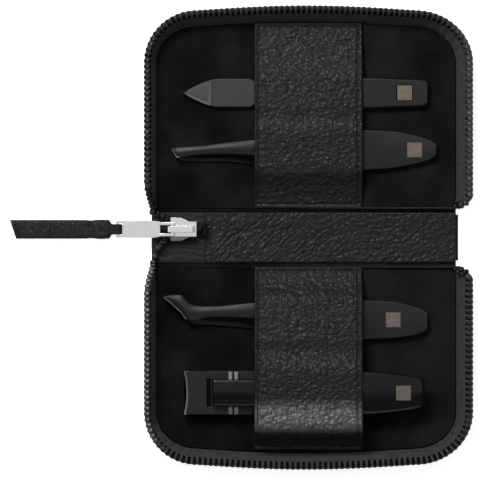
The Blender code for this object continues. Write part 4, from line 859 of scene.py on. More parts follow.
PATCH_GAP, PATCH_EDGE, PATCH_STEP = 0.3 * MM, 0.3 * MM, 0.35 * MM
ends = (PATCH_LEFT, STRIP_LEFT - PATCH_GAP)
mesh = slab_mesh("tail_patch", ends, STRIP_HALF, STRIP_HEIGHTS, PATCH_EDGE, PATCH_STEP, patch_relief)
# A darker copy of the tape for its ends: painted shade round the slider's end of the zip
shaded_tape_copy = tape.copy()
shaded_tape_copy.name = "gathered_tape_ends"
dark_stops = next(n for n in shaded_tape_copy.node_tree.nodes if n.type == "VALTORGB").color_ramp.elements
dark_stops[0].color, dark_stops[1].color = linear("#101010"), linear("#1f1f20")
piece = new_piece("zip_end_patch", mesh, shaded_tape_copy)
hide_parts("zip_tail_tape")
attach(piece, "spine")

# Zip ends: the two rows leave the slider's fork, curve outwards over the fold lines and meet the
# rows on the walls.
ZIP_Y, FORK_X, FORK_OFF, CHAIN_Z = 2.8 * MM, -47.2 * MM, 2.95 * MM, 4.95 * MM
CORD_HALF, CORD_LOW, END_HIGH = 0.45 * MM, 3.1 * MM, 2.0 * MM
# Steps between two points of a row's line, and its points as shares of the fold line's distance
LINE_STEPS = 8
LOWER_SHARES = ((0.0, 0.0), (0.12, 0.08), (0.37, 0.30), (0.50, 0.50))
UPPER_SHARES = ((0.0, 0.0), (0.14, 0.06), (0.42, 0.25))


def smooth_line(points, steps):
    """A Catmull-Rom line through points."""
    points = [Vector(p) for p in points]
    ends = [2 * points[0] - points[1], *points, 2 * points[-1] - points[-2]]
    found = []
    for a, b, c, d in zip(ends, ends[1:], ends[2:], ends[3:]):
        for k in range(steps):
            t = k / steps
            curve = 2 * b + (c - a) * t + (2 * a - 5 * b + 4 * c - d) * t * t + (3 * b - a - 3 * c + d) * t**3
            found.append(0.5 * curve)
    return found + [points[-1]]


first = wall[0]


def zip_end(name, line, body=None, replaced=()):
    """Teeth along a line on the spine, standing on the tape's corded edge below them."""
    points = smooth_line(line, LINE_STEPS)
    lean = Vector((first[1].x, 0, RIM_RISE)).normalized()
    ups, cord = [], []
    for i, point in enumerate(points):
        share = smooth_step((abs(point.y) - FOLD_LINE + 2 * MM) / (2 * MM))
        ups.append(Vector((0, 0, 1)).lerp(lean, share).normalized())
        d = (points[min(i + 1, len(points) - 1)] - points[max(i - 1, 0)]).normalized()
        across = Vector((-d.y, d.x, 0)).normalized() * CORD_HALF
        low, top = Vector((point.x, point.y, CORD_LOW)), Vector((point.x, point.y, point.z - 0.35 * MM))
        cord.append([low - across, low + across, top + across, top - across])
    feet = [p - u * END_HIGH / 2 for p, u in zip(points, ups)]
    stations = evenly(feet, ups, TOOTH_PITCH)
    teeth = repeated(f"{name}_teeth", stations, unit_tooth(), (TOOTH_LONG, TOOTH_WIDE, END_HIGH), teeth_metal)
    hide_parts(*replaced)
    edge = new_piece(f"{name}_cord", ribbon_mesh(f"{name}_cord", cord), tape, smooth=False)
    for piece in (teeth, edge):
        if body:
            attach(piece, body)
        else:
            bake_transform(piece)


lower_line = [(FORK_X - FOLD_LINE * a, ZIP_Y - FORK_OFF - FOLD_LINE * b, CHAIN_Z) for a, b in LOWER_SHARES]
end_x = first[0].x - 0.9 * MM
end_z = FLOOR_TOP + first[3] - TOOTH_HIGH / 2
zip_end("lower_tail", lower_line, body="spine", replaced=("lower_zip_tail",))
near_end = (lower_line[-1][0] - 0.3 * MM, lower_line[-1][1] - 0.8 * MM, CHAIN_Z)
before_wall = (end_x + 0.2 * MM, -FOLD_LINE + 1.2 * MM, CHAIN_Z - 0.4 * MM)
bridge = [near_end, before_wall, (end_x, -FOLD_LINE - 0.4 * MM, end_z)]
zip_end("lower_bridge", bridge, replaced=("lower_zip_bridge",))
upper_line = [(FORK_X - FOLD_LINE * a, ZIP_Y + FORK_OFF + FOLD_LINE * b, CHAIN_Z) for a, b in UPPER_SHARES]
before_wall = (end_x + 0.2 * MM, FOLD_LINE - 0.6 * MM, CHAIN_Z - 0.4 * MM)
upper_line += [before_wall, (end_x, FOLD_LINE + 0.4 * MM, end_z)]
zip_end("upper_bridge", upper_line, replaced=("upper_zip_bridge",))

joined_low, joined_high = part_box("joined_teeth")
JOINED_TEETH = 4
stations = []
for k in range(JOINED_TEETH):
    x = joined_low.x + (joined_high.x - joined_low.x) * (k + 0.5) / JOINED_TEETH
    up = Vector((0, 1 if k % 2 else -1, 0))
    stations.append((Vector((x, ZIP_Y, CHAIN_Z)) - up * TOOTH_HIGH * 0.55, Vector((1, 0, 0)), up))
sizes = (TOOTH_LONG * 0.8, TOOTH_WIDE, TOOTH_HIGH)
piece = repeated("meshed_teeth", stations, unit_tooth(), sizes, teeth_metal)
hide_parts("joined_teeth")
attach(piece, "spine")


def prism_along_x(name, x0, x1, section):
    """A closed prism as a cutter, with this (y, z) section. Its numbers are millimetres."""
    builder = bmesh.new()
    skin(builder, [[(x * MM, y * MM, z * MM) for y, z in section] for x in (x0, x1)])
    return add_object(name, closed_mesh(name, builder))


def softened(name, cad_node, width, material, body, slot_name, segments=3, cutter=None):
    """A copy of a CAD node with its edges rounded, in place of it."""
    builder = bmesh.new()
    builder.from_mesh(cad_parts[cad_node].data)
    bmesh.ops.remove_doubles(builder, verts=builder.verts, dist=0.002 * MM)
    bmesh.ops.dissolve_limit(builder, angle_limit=math.radians(1.5), verts=builder.verts, edges=builder.edges)
    piece = new_piece(name, closed_mesh(name, builder), material)
    if cutter:
        cut = piece.modifiers.new("cut", "BOOLEAN")
        cut.operation, cut.solver, cut.object = "DIFFERENCE", "EXACT", cutter
    bevel = piece.modifiers.new("edges", "BEVEL")
    bevel.width = width
    bevel.segments = segments
    bevel.limit_method = "ANGLE"
    bevel.angle_limit = math.radians(28)
    bevel.use_clamp_overlap = True
    even = piece.modifiers.new("even_normals", "WEIGHTED_NORMAL")
    even.keep_sharp = True
    graph = bpy.context.evaluated_depsgraph_get()
    mesh = bpy.data.meshes.new_from_object(piece.evaluated_get(graph), depsgraph=graph)
    piece.modifiers.clear()
    piece.data = mesh
    if cutter:
        bpy.data.objects.remove(cutter)
    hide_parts(cad_node)
    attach(piece, body)


softened("bottom_clamp", "bottom_stop", 0.25 * MM, teeth_metal, "spine", "zip_metal")

# Slider and pull: zinc die castings, polished and nickel plated. The pull hangs on the slider's
# bridge and lies over the edge of the case.
# Bright nickel: a near-white metal with soft wipe marks and a few fine scratches
nickel, tree, shader, place = new_material("polished_nickel", Metallic=1.0)
smear = noise_over(tree, place, 4 * MM, 4.0)
lines = node(tree, "ShaderNodeMapping", {"Vector": place, "Scale": (1 / (6 * MM), 1 / (0.12 * MM), 1 / MM)})
scratch = noise_over(tree, lines.outputs[0], 1.0, 2.0)
colour = ramp(tree, smear, (0.3, "#e4e4e6"), (0.7, "#f2f2f3"))
gloss = ramp(tree, smear, (0.3, 0.16), (0.7, 0.26))
coated(tree, shader, colour, gloss, scratch, strength=0.15, depth=0.01 * MM)
# The near edge of the slider's top plate is cast with a sloping step, down towards its flange
step_section = ((0.45, 7.2), (-1.6, 7.2), (-1.6, 5.15), (0.45, 6.72))
step = prism_along_x("slider_step", -47.4, -37.9, step_section)
softened("zip_slider", "slider_body", 0.16 * MM, nickel, "slider", "slider_metal", cutter=step)
softened("slider_pull", "zip_pull", 0.16 * MM, nickel, "pull", "slider_metal")

# Leather tab: a strap of pebbled cowhide folded double round the pull's end bar, glued and pressed,
# and pinched in next to the bar.
TAB_AXIS = Vector((-65.053 * MM, 2.8 * MM, 1.921 * MM))
TAB_END, TAB_SLANT, TAB_HALF = -101.65 * MM, 2.1 * MM, 3.2 * MM
TAB_LOW, TAB_THICK, TAB_BORE, TAB_LOOP = 0.1 * MM, 2.2 * MM, 0.95 * MM, 1.75 * MM
LOOP_HALF, LOOP_TURN, LOOP_STEPS, LOOP_INSIDE = 1.8 * MM, 128, 32, 0.05 * MM
TAB_STEPS, TAB_POINTS = 110, 17


def tab_width(x):
    """Half the tab's width: narrow at the bar, widest some 5 mm out and pinched in at 9 mm."""
    near = smooth_step((TAB_AXIS.x - TAB_LOOP - x) / (1.2 * MM))
    bulge = 0.12 * MM * hill(x - TAB_AXIS.x, -5.5 * MM, 1.5 * MM)
    pinch = -0.15 * MM * hill(x - TAB_AXIS.x, -9 * MM, 1.2 * MM)
    return LOOP_HALF + (TAB_HALF - LOOP_HALF) * near + (bulge + pinch) * near


rings = []
left_x, right_x = TAB_END, TAB_AXIS.x - TAB_BORE
for i in range(TAB_STEPS + 1):
    x = left_x + (right_x - left_x) * i / TAB_STEPS
    half = tab_width(x)
    end_round = 0.35 * MM * (1 - smooth_step(i / 3)) ** 2
    slant = TAB_SLANT * (1 - smooth_step(i / TAB_STEPS * 8))
    swell = 0.25 * MM * hill(x - TAB_AXIS.x, -5 * MM, 1.8 * MM)
    dent = 0.2 * MM * hill(x - TAB_AXIS.x, -8.4 * MM, 0.9 * MM)
    ring = []
    for top in (True, False):
        for k in range(TAB_POINTS + 1):
            u = -1 + 2 * k / TAB_POINTS
            u = u if top else -u
            y = half * u
            crown = (1 - abs(u) ** 4) * 0.22 * MM
            rough = creases(x + 0.2 * y, y, 41, (1.3, 4.2)) * (1 if top else 0.3)
            if top:
                z = TAB_LOW + TAB_THICK - 0.35 * MM - end_round + crown + rough + swell - dent
            else:
                z = TAB_LOW + 0.12 * MM - (1 - abs(u) ** 4) * 0.1 * MM + end_round
            z = max(z, TAB_LOW)
            shift = slant * (0.5 - u / 2)
            ring.append((x + shift, TAB_AXIS.y + y, z))
    rings.append(ring)
builder = bmesh.new()
skin(builder, rings)
rings = []
for k in range(LOOP_STEPS + 1):
    a = math.radians(-LOOP_TURN + 2 * LOOP_TURN * k / LOOP_STEPS)
    ring = []
    inner = TAB_BORE + LOOP_INSIDE
    for radius, y in ((inner, -1), (TAB_LOOP, -0.93), (TAB_LOOP, 0.93), (inner, 1)):
        point = TAB_AXIS + Vector((radius * math.cos(a), LOOP_HALF * y, radius * math.sin(a)))
        point.z = max(point.z, TAB_LOW)
        ring.append(point)
    rings.append(ring)
skin(builder, rings)
piece = new_piece("pull_tab", closed_mesh("pull_tab", builder), pebbled, sharp=55)
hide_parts("leather_tab")
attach(piece, "tab")

# Tweezers: two arms each of stamped stainless steel with a matt black coating, welded at the rear.
# Their faces are slightly crowned and their edges rounded.
ARM_THICK, TOOL_LOW, ARM_OPEN = 1.1 * MM, 3.2 * MM, 2.1 * MM
ARM_REST = TOOL_LOW + ARM_THICK + 0.3 * MM
ARM_SECTIONS, TIP_SECTIONS = 150, 24


def black_finish(name, specular, sizes, colours, gloss, strength, depth):
    """Black over steel: a faint mottle in its colour and gloss, and fine grit in its surface."""
    made, tree, shader, place = new_material(name, Specular_IOR_Level=specular)
    mottle, grit = noise_over(tree, place, sizes[0], 4.0), noise_over(tree, place, sizes[1], 2.0)
    colour = ramp(tree, mottle, (0.3, colours[0]), (0.7, colours[1]))
    coated(tree, shader, colour, ramp(tree, mottle, (0.3, gloss[0]), (0.7, gloss[1])), grit, strength, depth)
    return made


# Matt black coating on steel: soft wide highlights, faintly mottled by the tumbled surface below
sizes, colours = (7 * MM, 0.25 * MM), ("#0b0b0c", "#0f0f10")
coating = black_finish("black_coated_steel", 0.3, sizes, colours, (0.38, 0.48), 0.25, 0.02 * MM)

# Black over steel, darker and closer than the coating, with little reflection: painted shade for the
# parts that lie under others, the tweezers' lower arms and the clipper's lower plate
sizes, colours = (5 * MM, 0.3 * MM), ("#040404", "#070707")
coating_painted_shade = black_finish("black_steel_painted_shade", 0.08, sizes, colours, (0.16, 0.24), 0.1, 0.01 * MM)

# Turned and ground steel: bare grey metal with fine rings, for the tips, edges, pins and rivet
turned, tree, shader, place = new_material("turned_steel", Metallic=1.0, Roughness=0.58)
rings = node(tree, "ShaderNodeTexWave", {"Vector": place, "Scale": 1 / (0.5 * MM)}, bands_direction="Y")
coated(tree, shader, ramp(tree, rings.outputs["Fac"], (0.2, "#56565a"), (0.8, "#7c7c80")))

# How far the upper arm stands open, by its share of the length from the tip
OPENING = (
    (0.0, 0.78), (0.03, 0.82), (0.1, 1.0), (0.3, 0.9), (0.55, 0.5), (0.76, 0.1), (0.82, 0.0),
    (1.0, 0.0),
)
# Share of the length from the tip, then low and high edges as shares of half the width
SLANT_REAR = (
    (0.721, -1.0, 1.0), (0.79, -0.96, 0.97), (0.853, -0.875, 0.91), (0.902, -0.75, 0.78),
    (0.945, -0.62, 0.64), (0.975, -0.49, 0.5), (1.0, -0.3, 0.31),
)
SLANT_UPPER = (
    (0.0, 0.02, 0.11), (0.026, -0.41, 0.136), (0.072, -0.3, 0.17), (0.109, -0.25, 0.2),
    (0.211, -0.21, 0.37), (0.306, -0.27, 0.5), (0.38, -0.4, 0.62), (0.449, -0.53, 0.72),
    (0.53, -0.72, 0.84), (0.6, -0.87, 0.94), (0.66, -0.96, 0.99),
) + SLANT_REAR
SLANT_LOWER = (
    (0.0, -0.05, 0.09), (0.03, -0.55, 0.12), (0.06, -0.61, 0.14), (0.211, -0.61, 0.33),
    (0.306, -0.73, 0.46), (0.38, -0.77, 0.6), (0.449, -0.82, 0.7), (0.53, -0.88, 0.82),
    (0.6, -0.93, 0.92), (0.66, -0.97, 0.98),
) + SLANT_REAR
ANGLED_REAR = (
    (0.752, -1.0, 1.0), (0.82, -0.97, 0.97), (0.877, -0.92, 0.91), (0.925, -0.84, 0.78),
    (0.972, -0.7, 0.6), (1.0, -0.51, 0.39),
)
ANGLED_UPPER = (
    (0.0, 1.12, 1.22), (0.023, 0.9, 1.28), (0.044, 0.63, 1.3), (0.066, 0.36, 1.28), (0.082, 0.06, 1.08),
    (0.102, -0.09, 0.82), (0.127, -0.05, 0.72), (0.16, 0.08, 0.7), (0.195, 0.14, 0.71),
    (0.335, 0.09, 0.87), (0.42, -0.18, 0.91), (0.48, -0.4, 0.94), (0.55, -0.64, 0.97),
    (0.63, -0.85, 1.0), (0.69, -0.95, 1.0),
) + ANGLED_REAR
ANGLED_LOWER = (
    (0.0, 1.02, 1.14), (0.023, 0.8, 1.2), (0.044, 0.53, 1.22), (0.066, 0.26, 1.2), (0.082, -0.04, 1.0),
    (0.102, -0.19, 0.74), (0.127, -0.26, 0.64), (0.195, -0.3, 0.63), (0.335, -0.46, 0.79),
    (0.42, -0.6, 0.85), (0.48, -0.7, 0.9), (0.55, -0.81, 0.94), (0.63, -0.92, 0.98), (0.69, -0.97, 1.0),
) + ANGLED_REAR


def smooth_table(table, share):
    """Reads a table of (share, value, ...) rows with slopes that never overshoot a row."""
    i = 0
    while i < len(table) - 2 and share > table[i + 1][0]:
        i += 1
    a, b = table[i], table[i + 1]
    t = (share - a[0]) / (b[0] - a[0])
    values = []
    for c in range(1, len(a)):
        span = b[0] - a[0]
        rate = (b[c] - a[c]) / span
        before = (a[c] - table[i - 1][c]) / (a[0] - table[i - 1][0]) if i else rate
        after = (table[i + 2][c] - b[c]) / (table[i + 2][0] - b[0]) if i + 2 < len(table) else rate
        m0 = 2 * before * rate / (before + rate) if before * rate > 0 else 0.0
        m1 = 2 * after * rate / (after + rate) if after * rate > 0 else 0.0
        h00, h10 = 2 * t**3 - 3 * t**2 + 1, t**3 - 2 * t**2 + t
        h01, h11 = -2 * t**3 + 3 * t**2, t**3 - t**2
        values.append(h00 * a[c] + h10 * span * m0 + h01 * b[c] + h11 * span * m1)
    return values


def arm_mesh(name, tip_x, end_x, middle_y, half_width, table, bottom, hook):
    """A crowned bar: 24 points round each section, closer together near the tip and the end."""
    sections = []
    for i in range(ARM_SECTIONS + 1):
        share = i / ARM_SECTIONS
        share = 0.5 - 0.5 * math.cos(math.pi * share) * (0.6 + 0.4 * abs(math.cos(math.pi * share)) ** 0.5)
        share = min(max(share, 0.0), 1.0)
        low, high = smooth_table(table, share)
        y0, y1 = middle_y + low * half_width, middle_y + high * half_width
        z = bottom(share)
        edge = min(0.2 * MM, (y1 - y0) / 3)
        crown = min((0.54 - 0.36 * smooth_step((share - 0.2) / 0.4)) * MM, (y1 - y0) * 0.12)
        side_high = ARM_THICK - crown
        hooked = hook * (1 - smooth_step((share - 0.09) / 0.05)) * min(0.5 * MM, (y1 - y0) * 0.3)
        section = []
        for k in range(9):
            u = k / 8
            section.append((y0 + edge * 0.5 + (y1 - y0 - edge) * u, z))
        edge = min(edge, side_high * 0.6)
        section.append((y1, z + edge * 0.3))
        section.append((y1, z + side_high - edge))
        section.append((y1 - edge * 0.29, z + side_high - edge * 0.29))
        for u in (1.0, 0.97, 0.9, 0.8, 0.7, 0.6, 0.5, 0.4, 0.3, 0.2, 0.1, 0.03, 0.0):
            bow = crown * (1 - (2 * u - 1) ** 2)
            section.append((y0 + hooked + edge + (y1 - y0 - hooked - 2 * edge) * u, z + side_high + bow))
        section.append((y0 + edge * 0.29, z + side_high - edge * 0.29 - hooked * 0.8))
        section.append((y0, z + side_high - edge - hooked * 0.8))
        section.append((y0, z + edge * 0.3))
        x = tip_x + share * (end_x - tip_x)
        sections.append([Vector((x, y, h)) for y, h in section])
    return ribbon_mesh(name, sections)


def table_line(table, share):
    """Reads a table of (share, value) rows in straight lines."""
    for (s0, v0), (s1, v1) in zip(table, table[1:]):
        if share <= s1:
            return v0 + (v1 - v0) * (share - s0) / (s1 - s0)
    return table[-1][1]


def flat_bottom(_):
    return TOOL_LOW


def open_bottom(share):
    near = [table_line(OPENING, min(max(share + d, 0.0), 1.0)) for d in (-0.02, -0.01, 0.0, 0.01, 0.02)]
    return ARM_REST + ARM_OPEN * sum(near) / 5


SLANT = (-46.7 * MM, 43.4 * MM, 29.8 * MM, 6.77 * MM)
ANGLED = (-49.3 * MM, 40.4 * MM, -28.0 * MM, 6.63 * MM)
ARMS = (
    ("slant_lower_arm", SLANT, SLANT_LOWER, flat_bottom, "slant_tweezers_lower_arm", "slant_tweezers"),
    ("slant_upper_arm", SLANT, SLANT_UPPER, open_bottom, "slant_tweezers_upper_arm", "slant_arm"),
    ("angled_lower_arm", ANGLED, ANGLED_LOWER, flat_bottom, "angled_tweezers_lower_arm", "angled_tweezers"),
    ("angled_upper_arm", ANGLED, ANGLED_UPPER, open_bottom, "angled_tweezers_upper_arm", "angled_arm"),
)
for name, place_of, table, bottom, cad_node, body in ARMS:
    mesh = arm_mesh(name, *place_of, table, bottom, float(name == "angled_upper_arm"))
    # The lower arms get the darker coating: painted shade under the upper arms
    piece = new_piece(name, mesh, coating_painted_shade if "lower" in name else coating, sharp=50)
    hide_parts(cad_node)
    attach(piece, body)

# The tips' outer edges are ground bare in a narrow facet
for name, place_of, table, reach, body in (
    ("slant_ground_tip", SLANT, SLANT_UPPER, 0.028, "slant_arm"),
    ("angled_ground_tip", ANGLED, ANGLED_UPPER, 0.085, "angled_arm"),
):
    tip_x, end_x, middle_y, half_width = place_of
    sections = []
    for i in range(TIP_SECTIONS + 1):
        share = 0.002 + reach * i / TIP_SECTIONS
        low, high = smooth_table(table, share)
        y0, top = middle_y + low * half_width, open_bottom(share) + ARM_THICK
        wide = min(0.55 * MM, (high - low) * half_width * 0.5)
        x = tip_x + share * (end_x - tip_x)
        ring = ((y0 - 0.02 * MM, top - 0.6 * MM), (y0 + 0.02 * MM, top - 0.08 * MM))
        ring += ((y0 + wide, top), (y0 + wide, top - 0.6 * MM))
        sections.append([Vector((x, y, z)) for y, z in ring])
    piece = new_piece(name, ribbon_mesh(name, sections), turned, sharp=20)
    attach(piece, body)

# Nail file: a steel blade with an abrasive coat, finer at its point, held in a flat black handle.
# Diamond grit set in nickel: a dull grey with tiny sparkling grains, drawn coarse enough to show
abrasive, tree, shader, place = new_material("abrasive_blade", Roughness=0.62, Metallic=0.3)
grains = node(tree, "ShaderNodeTexVoronoi", {"Vector": place, "Scale": 1 / (0.3 * MM)}, feature="F1")
parts = node(tree, "ShaderNodeSeparateXYZ", {"Vector": place})
along = spread(tree, parts.outputs["X"], (-35.4 * MM, -31.4 * MM), (0.0, 1.0))
# Fine grit on the point, then a brighter band on the ridge, a painted highlight, with a dark line
# behind it, painted shade, then coarse grit
point, ridge_painted_highlight, furrow, blade = "#3e3e41", "#48484c", "#2b2b2d", "#323235"
grit = ramp(tree, along, (0.3, point), (0.38, ridge_painted_highlight), (0.54, ridge_painted_highlight), (0.62, furrow), (0.74, blade))
speck = ramp(tree, grains.outputs["Distance"], (0.1, "#b4b4b4"), (0.8, "#ffffff"))
colour = node(tree, "ShaderNodeMix", {"Factor": 1.0}, data_type="RGBA", blend_type="MULTIPLY")
tree.links.new(grit, colour.inputs[6])
tree.links.new(speck, colour.inputs[7])
coated(tree, shader, colour.outputs[2], height=grains.outputs["Distance"], strength=0.5, depth=0.05 * MM)
BLADE_TIP, BLADE_FULL, BLADE_BACK, TANG_START, TANG_END = [x * MM for x in (-42.7, -30.9, -20.1, -16.7, -1.7)]
BLADE_Y, BLADE_HALF, TANG_HALF, BLADE_LOW, BLADE_TOP = [x * MM for x in (49.2, 4.75, 2.8, 4.1, 5.3)]
GROUND_END, GROUND_RUN, GROUND_DROP = -34.3 * MM, 1.6 * MM, 0.12 * MM
RIDGE_X, RIDGE_HIGH, RIDGE_WIDE = -33.3 * MM, 0.1 * MM, 0.6 * MM
# The coated faces lie this far under the blade's full height
COAT_SUNK = 0.06 * MM
BLADE_SECTIONS, EDGE_SECTIONS = 180, 60


def blade_half(x):
    if x < BLADE_FULL:
        share = (x - BLADE_TIP) / (BLADE_FULL - BLADE_TIP)
        return BLADE_HALF * max(1 - (1 - share) ** 1.5, 0.02)
    if x < BLADE_BACK:
        return BLADE_HALF
    return BLADE_HALF + (TANG_HALF - BLADE_HALF) * smooth_step((x - BLADE_BACK) / (TANG_START - BLADE_BACK))


sections = []
for i in range(BLADE_SECTIONS + 1):
    x = BLADE_TIP + (TANG_END - BLADE_TIP) * (i / BLADE_SECTIONS) ** 1.25
    half = blade_half(x)
    # The point is ground to a wide bevel on both edges, which stops at a low ridge across the blade
    ground = 1 - smooth_step((x - GROUND_END) / GROUND_RUN)
    width = min((0.3 + 0.75 * ground) * MM, half * 0.7)
    drop = (0.12 + 0.4 * ground) * MM
    top = BLADE_TOP - GROUND_DROP * ground + RIDGE_HIGH * hill(x, RIDGE_X, RIDGE_WIDE) - COAT_SUNK
    ring = ((-half, BLADE_LOW + 0.15 * MM), (-half, top - drop), (-half + width, top), (half - width, top))
    ring += ((half, top - drop), (half, BLADE_LOW + 0.15 * MM))
    ring += ((half * 0.9, BLADE_LOW), (-half * 0.9, BLADE_LOW))
    sections.append([Vector((x, BLADE_Y + y, z)) for y, z in ring])
piece = new_piece("nail_file_blade", ribbon_mesh("nail_file_blade", sections), abrasive, sharp=14)
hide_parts("file_blade")
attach(piece, "nail_file")
# The near edge of the point is ground bare
sections = []
for i in range(EDGE_SECTIONS + 1):
    x = BLADE_TIP + 0.1 * MM + (BLADE_FULL - 0.2 * MM - BLADE_TIP) * i / EDGE_SECTIONS
    half = blade_half(x)
    wide = min(0.75 * MM * (1 - smooth_step((i - 44) / 16)) + 0.1 * MM, half * 0.6)
    ring = ((-half + wide, 4.6 * MM), (-half, 4.6 * MM))
    ring += ((-half - 0.03 * MM, 5.08 * MM), (-half + wide, 5.2 * MM))
    sections.append([Vector((x, BLADE_Y + y, z)) for y, z in ring])
piece = new_piece("file_ground_edge", ribbon_mesh("file_ground_edge", sections), turned, sharp=20)
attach(piece, "nail_file")
softened("nail_file_handle", "file_handle", 0.3 * MM, coating, "nail_file", "black_steel")

# Nail clipper: two jaws riveted at the rear and pressed together by a lever, which turns on two
# cross pins held by a post.
# The lower plate gets the darker coating: painted shade under the upper jaw and the lever
softened("clipper_lower_plate", "clipper_lower_jaw", 0.2 * MM, coating_painted_shade, "clipper", "black_steel")
# A groove lies across the upper jaw where its cutting end is bent down
groove_section = ((-57.6, 6.0), (-48.0, 6.0), (-48.0, 8.6), (-57.6, 8.6))
groove = prism_along_x("jaw_groove", -34.5, -33.2, groove_section)
jaw = ("clipper_upper_plate", "clipper_upper_jaw")
softened(*jaw, 0.28 * MM, coating, "clipper_jaw", "black_steel", cutter=groove)

# Black enamel on the lever: a deep black whose rolled edges catch a soft line of light
sizes, colours = (6 * MM, 0.3 * MM), ("#040404", "#060606")
enamel = black_finish("black_enamelled_steel", 0.25, sizes, colours, (0.16, 0.22), 0.1, 0.01 * MM)
# Half the lever's width along its length, both in millimetres
LEVER_WIDTHS = (
    (-32.7, 4.3), (-32.2, 4.6), (-15.4, 4.6), (-8.2, 4.93), (-0.9, 5.84), (6.3, 6.85), (12.1, 7.33),
    (19.3, 7.33), (24.3, 7.08), (29.4, 6.55), (33.4, 6.03), (36.5, 5.5), (38.3, 5.0), (39.1, 4.5),
    (39.5, 3.7),
)
LEVER_FRONT, LEVER_REAR, LEVER_SECTIONS = LEVER_WIDTHS[0][0], LEVER_WIDTHS[-1][0], 160
LEVER_Y, LEVER_LOW, LEVER_TOP = -52.8 * MM, 9.7 * MM, 10.9 * MM
LEVER_ROLL, LEVER_FALL, LEVER_BOW = 1.6 * MM, 0.9 * MM, 0.3 * MM
# The lever is bowed across and its upper edges are rolled over
sections = []
for i in range(LEVER_SECTIONS + 1):
    share = 0.5 - 0.5 * math.cos(math.pi * i / LEVER_SECTIONS)
    x = LEVER_FRONT + (LEVER_REAR - LEVER_FRONT) * share
    half = smooth_table(LEVER_WIDTHS, x)[0] * MM
    roll = min(LEVER_ROLL, half * 0.3)
    end = max(1 - (x - LEVER_FRONT) / 0.9, 1 - (LEVER_REAR - x) / 1.8, 0.0)
    top = LEVER_TOP - LEVER_FALL * (1 - math.sqrt(1 - end * end)) * 0.9
    fall = min(LEVER_FALL - LEVER_BOW, top - LEVER_BOW - LEVER_LOW - 0.15 * MM)
    ring = [(-half, LEVER_LOW + 0.1 * MM)]
    for k in range(9):
        a = math.radians(90 * k / 8)
        ring.append((-half + roll * (1 - math.cos(a)), top - LEVER_BOW - fall * (1 - math.sin(a))))
    shares = (-0.8, -0.6, -0.4, -0.2, 0, 0.2, 0.4, 0.6, 0.8)
    bowed = [((half - roll) * w, top - LEVER_BOW * w * w) for w in shares]
    ring += bowed + [(-y, z) for y, z in reversed(ring)]
    ring += [(half * 0.95, LEVER_LOW), (-half * 0.95, LEVER_LOW)]
    sections.append([Vector((x * MM, LEVER_Y + y, z)) for y, z in ring])
piece = new_piece("clipper_press", ribbon_mesh("clipper_press", sections), enamel, sharp=45)
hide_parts("clipper_lever")
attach(piece, "clipper_lever")
# The cutting edge is ground bare along the hollow of the lip. Each pair is a place across the clipper
# and the lip's place along it, in millimetres
LIP = ((-60.2, -42.3), (-56.5, -41.62), (-52.8, -41.4), (-49.1, -41.62), (-45.4, -42.3))
LIP_START, LIP_RUN, LIP_SECTIONS = -60.15, 14.7, 48
sections = []
for i in range(LIP_SECTIONS + 1):
    y = LIP_START + LIP_RUN * i / LIP_SECTIONS
    x = smooth_table(LIP, y)[0]
    ring = ((x - 0.05, 7.1), (x - 0.05, 7.7), (x + 0.42, 7.83))
    ring += ((x + 0.6, 7.7), (x + 1.2, 7.68), (x + 1.2, 7.1))
    sections.append([Vector((across * MM, y * MM, high * MM)) for across, high in ring])
piece = new_piece("cutting_edge", ribbon_mesh("cutting_edge", sections), turned, sharp=12)
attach(piece, "clipper_jaw")
PIN_RADIUS, PIN_Z, PIN_POINTS = 0.8 * MM, 8.6 * MM, 32
# The pins' ends are chamfered: places across in millimetres, with shares of the radius
PIN_SECTIONS = ((-60.2, 0.6), (-60.05, 0.9), (-59.8, 1.0), (-45.8, 1.0), (-45.55, 0.9), (-45.4, 0.6))
for name, x in (("clipper_front_pin", -26.5 * MM), ("clipper_rear_pin", -24.5 * MM)):
    sections = []
    for y, share in PIN_SECTIONS:
        section = []
        for k in range(PIN_POINTS):
            a = math.radians(360 * k / PIN_POINTS)
            # A squarish bar, a little wider than high, with rounded corners
            round_pair = (1.2 * math.cos(a), math.sin(a))
            across, up = (math.copysign(abs(w) ** 0.6, w) * PIN_RADIUS * share for w in round_pair)
            section.append(Vector((x + across, y * MM, PIN_Z + up)))
        sections.append(section)
    piece = new_piece(f"{name}_bar", ribbon_mesh(f"{name}_bar", sections), turned, sharp=40)
    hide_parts(name)
    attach(piece, "clipper")
for name in ("clipper_post", "clipper_rivet"):
    paint_node(name, turned)

# Inlays: a bare square plate of steel let into the rear of each tool, left plain.
# Brushed steel with a warm cast: fine straight lines along the tool
inlay, tree, shader, place = new_material("brushed_inlay", Metallic=0.9)
lines = node(tree, "ShaderNodeMapping", {"Vector": place, "Scale": (1 / (3 * MM), 1 / (0.1 * MM), 1 / MM)})
brush = noise_over(tree, lines.outputs[0], 1.0, 3.0)
colour = ramp(tree, brush, (0.3, "#58544e"), (0.7, "#7b746b"))
coated(tree, shader, colour, ramp(tree, brush, (0.3, 0.38), (0.7, 0.5)))
for name, body in (
    ("file_inlay", "nail_file"),
    ("slant_tweezers_inlay", "slant_arm"),
    ("angled_tweezers_inlay", "angled_arm"),
    ("clipper_inlay", "clipper_lever"),
):
    softened(f"{name}_plate", name, 0.03 * MM, inlay, body, "inlay_steel", segments=2)

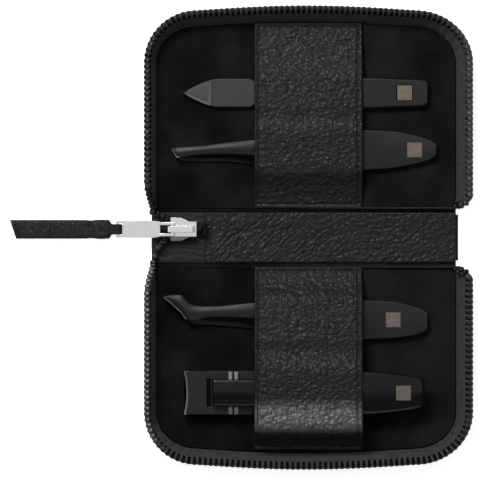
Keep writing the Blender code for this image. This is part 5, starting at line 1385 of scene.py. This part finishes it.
# Stage: a white light table that runs out of the frame, a broad soft panel above and two at the sides.
# Opal acrylic: an even matt white, lit softly from below as light tables are
table_paint, tree, shader, place = new_material(
    "opal_light_table", Roughness=0.9, Specular_IOR_Level=0.1, Emission_Strength=0.75
)
shader.inputs["Base Color"].default_value = linear("#f6f6f6")
shader.inputs["Emission Color"].default_value = linear("#ffffff")
builder = bmesh.new()
bmesh.ops.create_grid(builder, x_segments=1, y_segments=1, size=1.5)
for vertex in builder.verts:
    vertex.co.z = -0.05 * MM
mesh = bpy.data.meshes.new("table_top")
builder.to_mesh(mesh)
builder.free()
floor = new_piece("table_top", mesh, table_paint, smooth=False)

world = bpy.data.worlds.new("studio")
bpy.context.scene.world = world
world.use_nodes = True
world.node_tree.nodes["Background"].inputs["Color"].default_value = linear("#ffffff")
world.node_tree.nodes["Background"].inputs["Strength"].default_value = 0.16


def soft_light(name, place, target, size, power):
    """A rectangular panel of light at a place, turned towards its target."""
    light = bpy.data.lights.new(name, "AREA")
    light.shape = "RECTANGLE"
    light.size, light.size_y = size
    light.energy = power
    lamp = add_object(name, light)
    lamp.location = place
    lamp.rotation_euler = (Vector(target) - Vector(place)).to_track_quat("-Z", "Y").to_euler()


soft_light("overhead_panel", (-0.35, 0.31, 0.95), (-0.35, 0.31, 0.0), (1.9, 0.8), 2.9)
soft_light("key_panel", (-0.22, 0.42, 0.6), (-0.02, 0.0, 0.0), (0.34, 0.2), 5.2)
soft_light("near_panel", (-0.02, -0.44, 0.62), (-0.02, -0.06, 0.0), (0.4, 0.3), 0.5)

# A pixel's size on the object, the picture's width, and the pixel where the frame's origin lies
PIXEL, IMAGE, ORIGIN_ACROSS, ORIGIN_DOWN = 0.34 * MM, 480, 308.5, 237.5
LENS, SENSOR = 600.0, 36.0
aim = Vector(((IMAGE / 2 - ORIGIN_ACROSS) * PIXEL, (ORIGIN_DOWN - IMAGE / 2) * PIXEL, 6 * MM))
lens = bpy.data.cameras.new("overhead")
lens.lens = LENS
lens.sensor_width = SENSOR
lens.clip_end = 20
camera = add_object("overhead", lens)
camera.location = aim + Vector((0, 0, IMAGE * PIXEL * LENS / SENSOR))
bpy.context.scene.camera = camera
bpy.context.scene.view_settings.view_transform = "Standard"
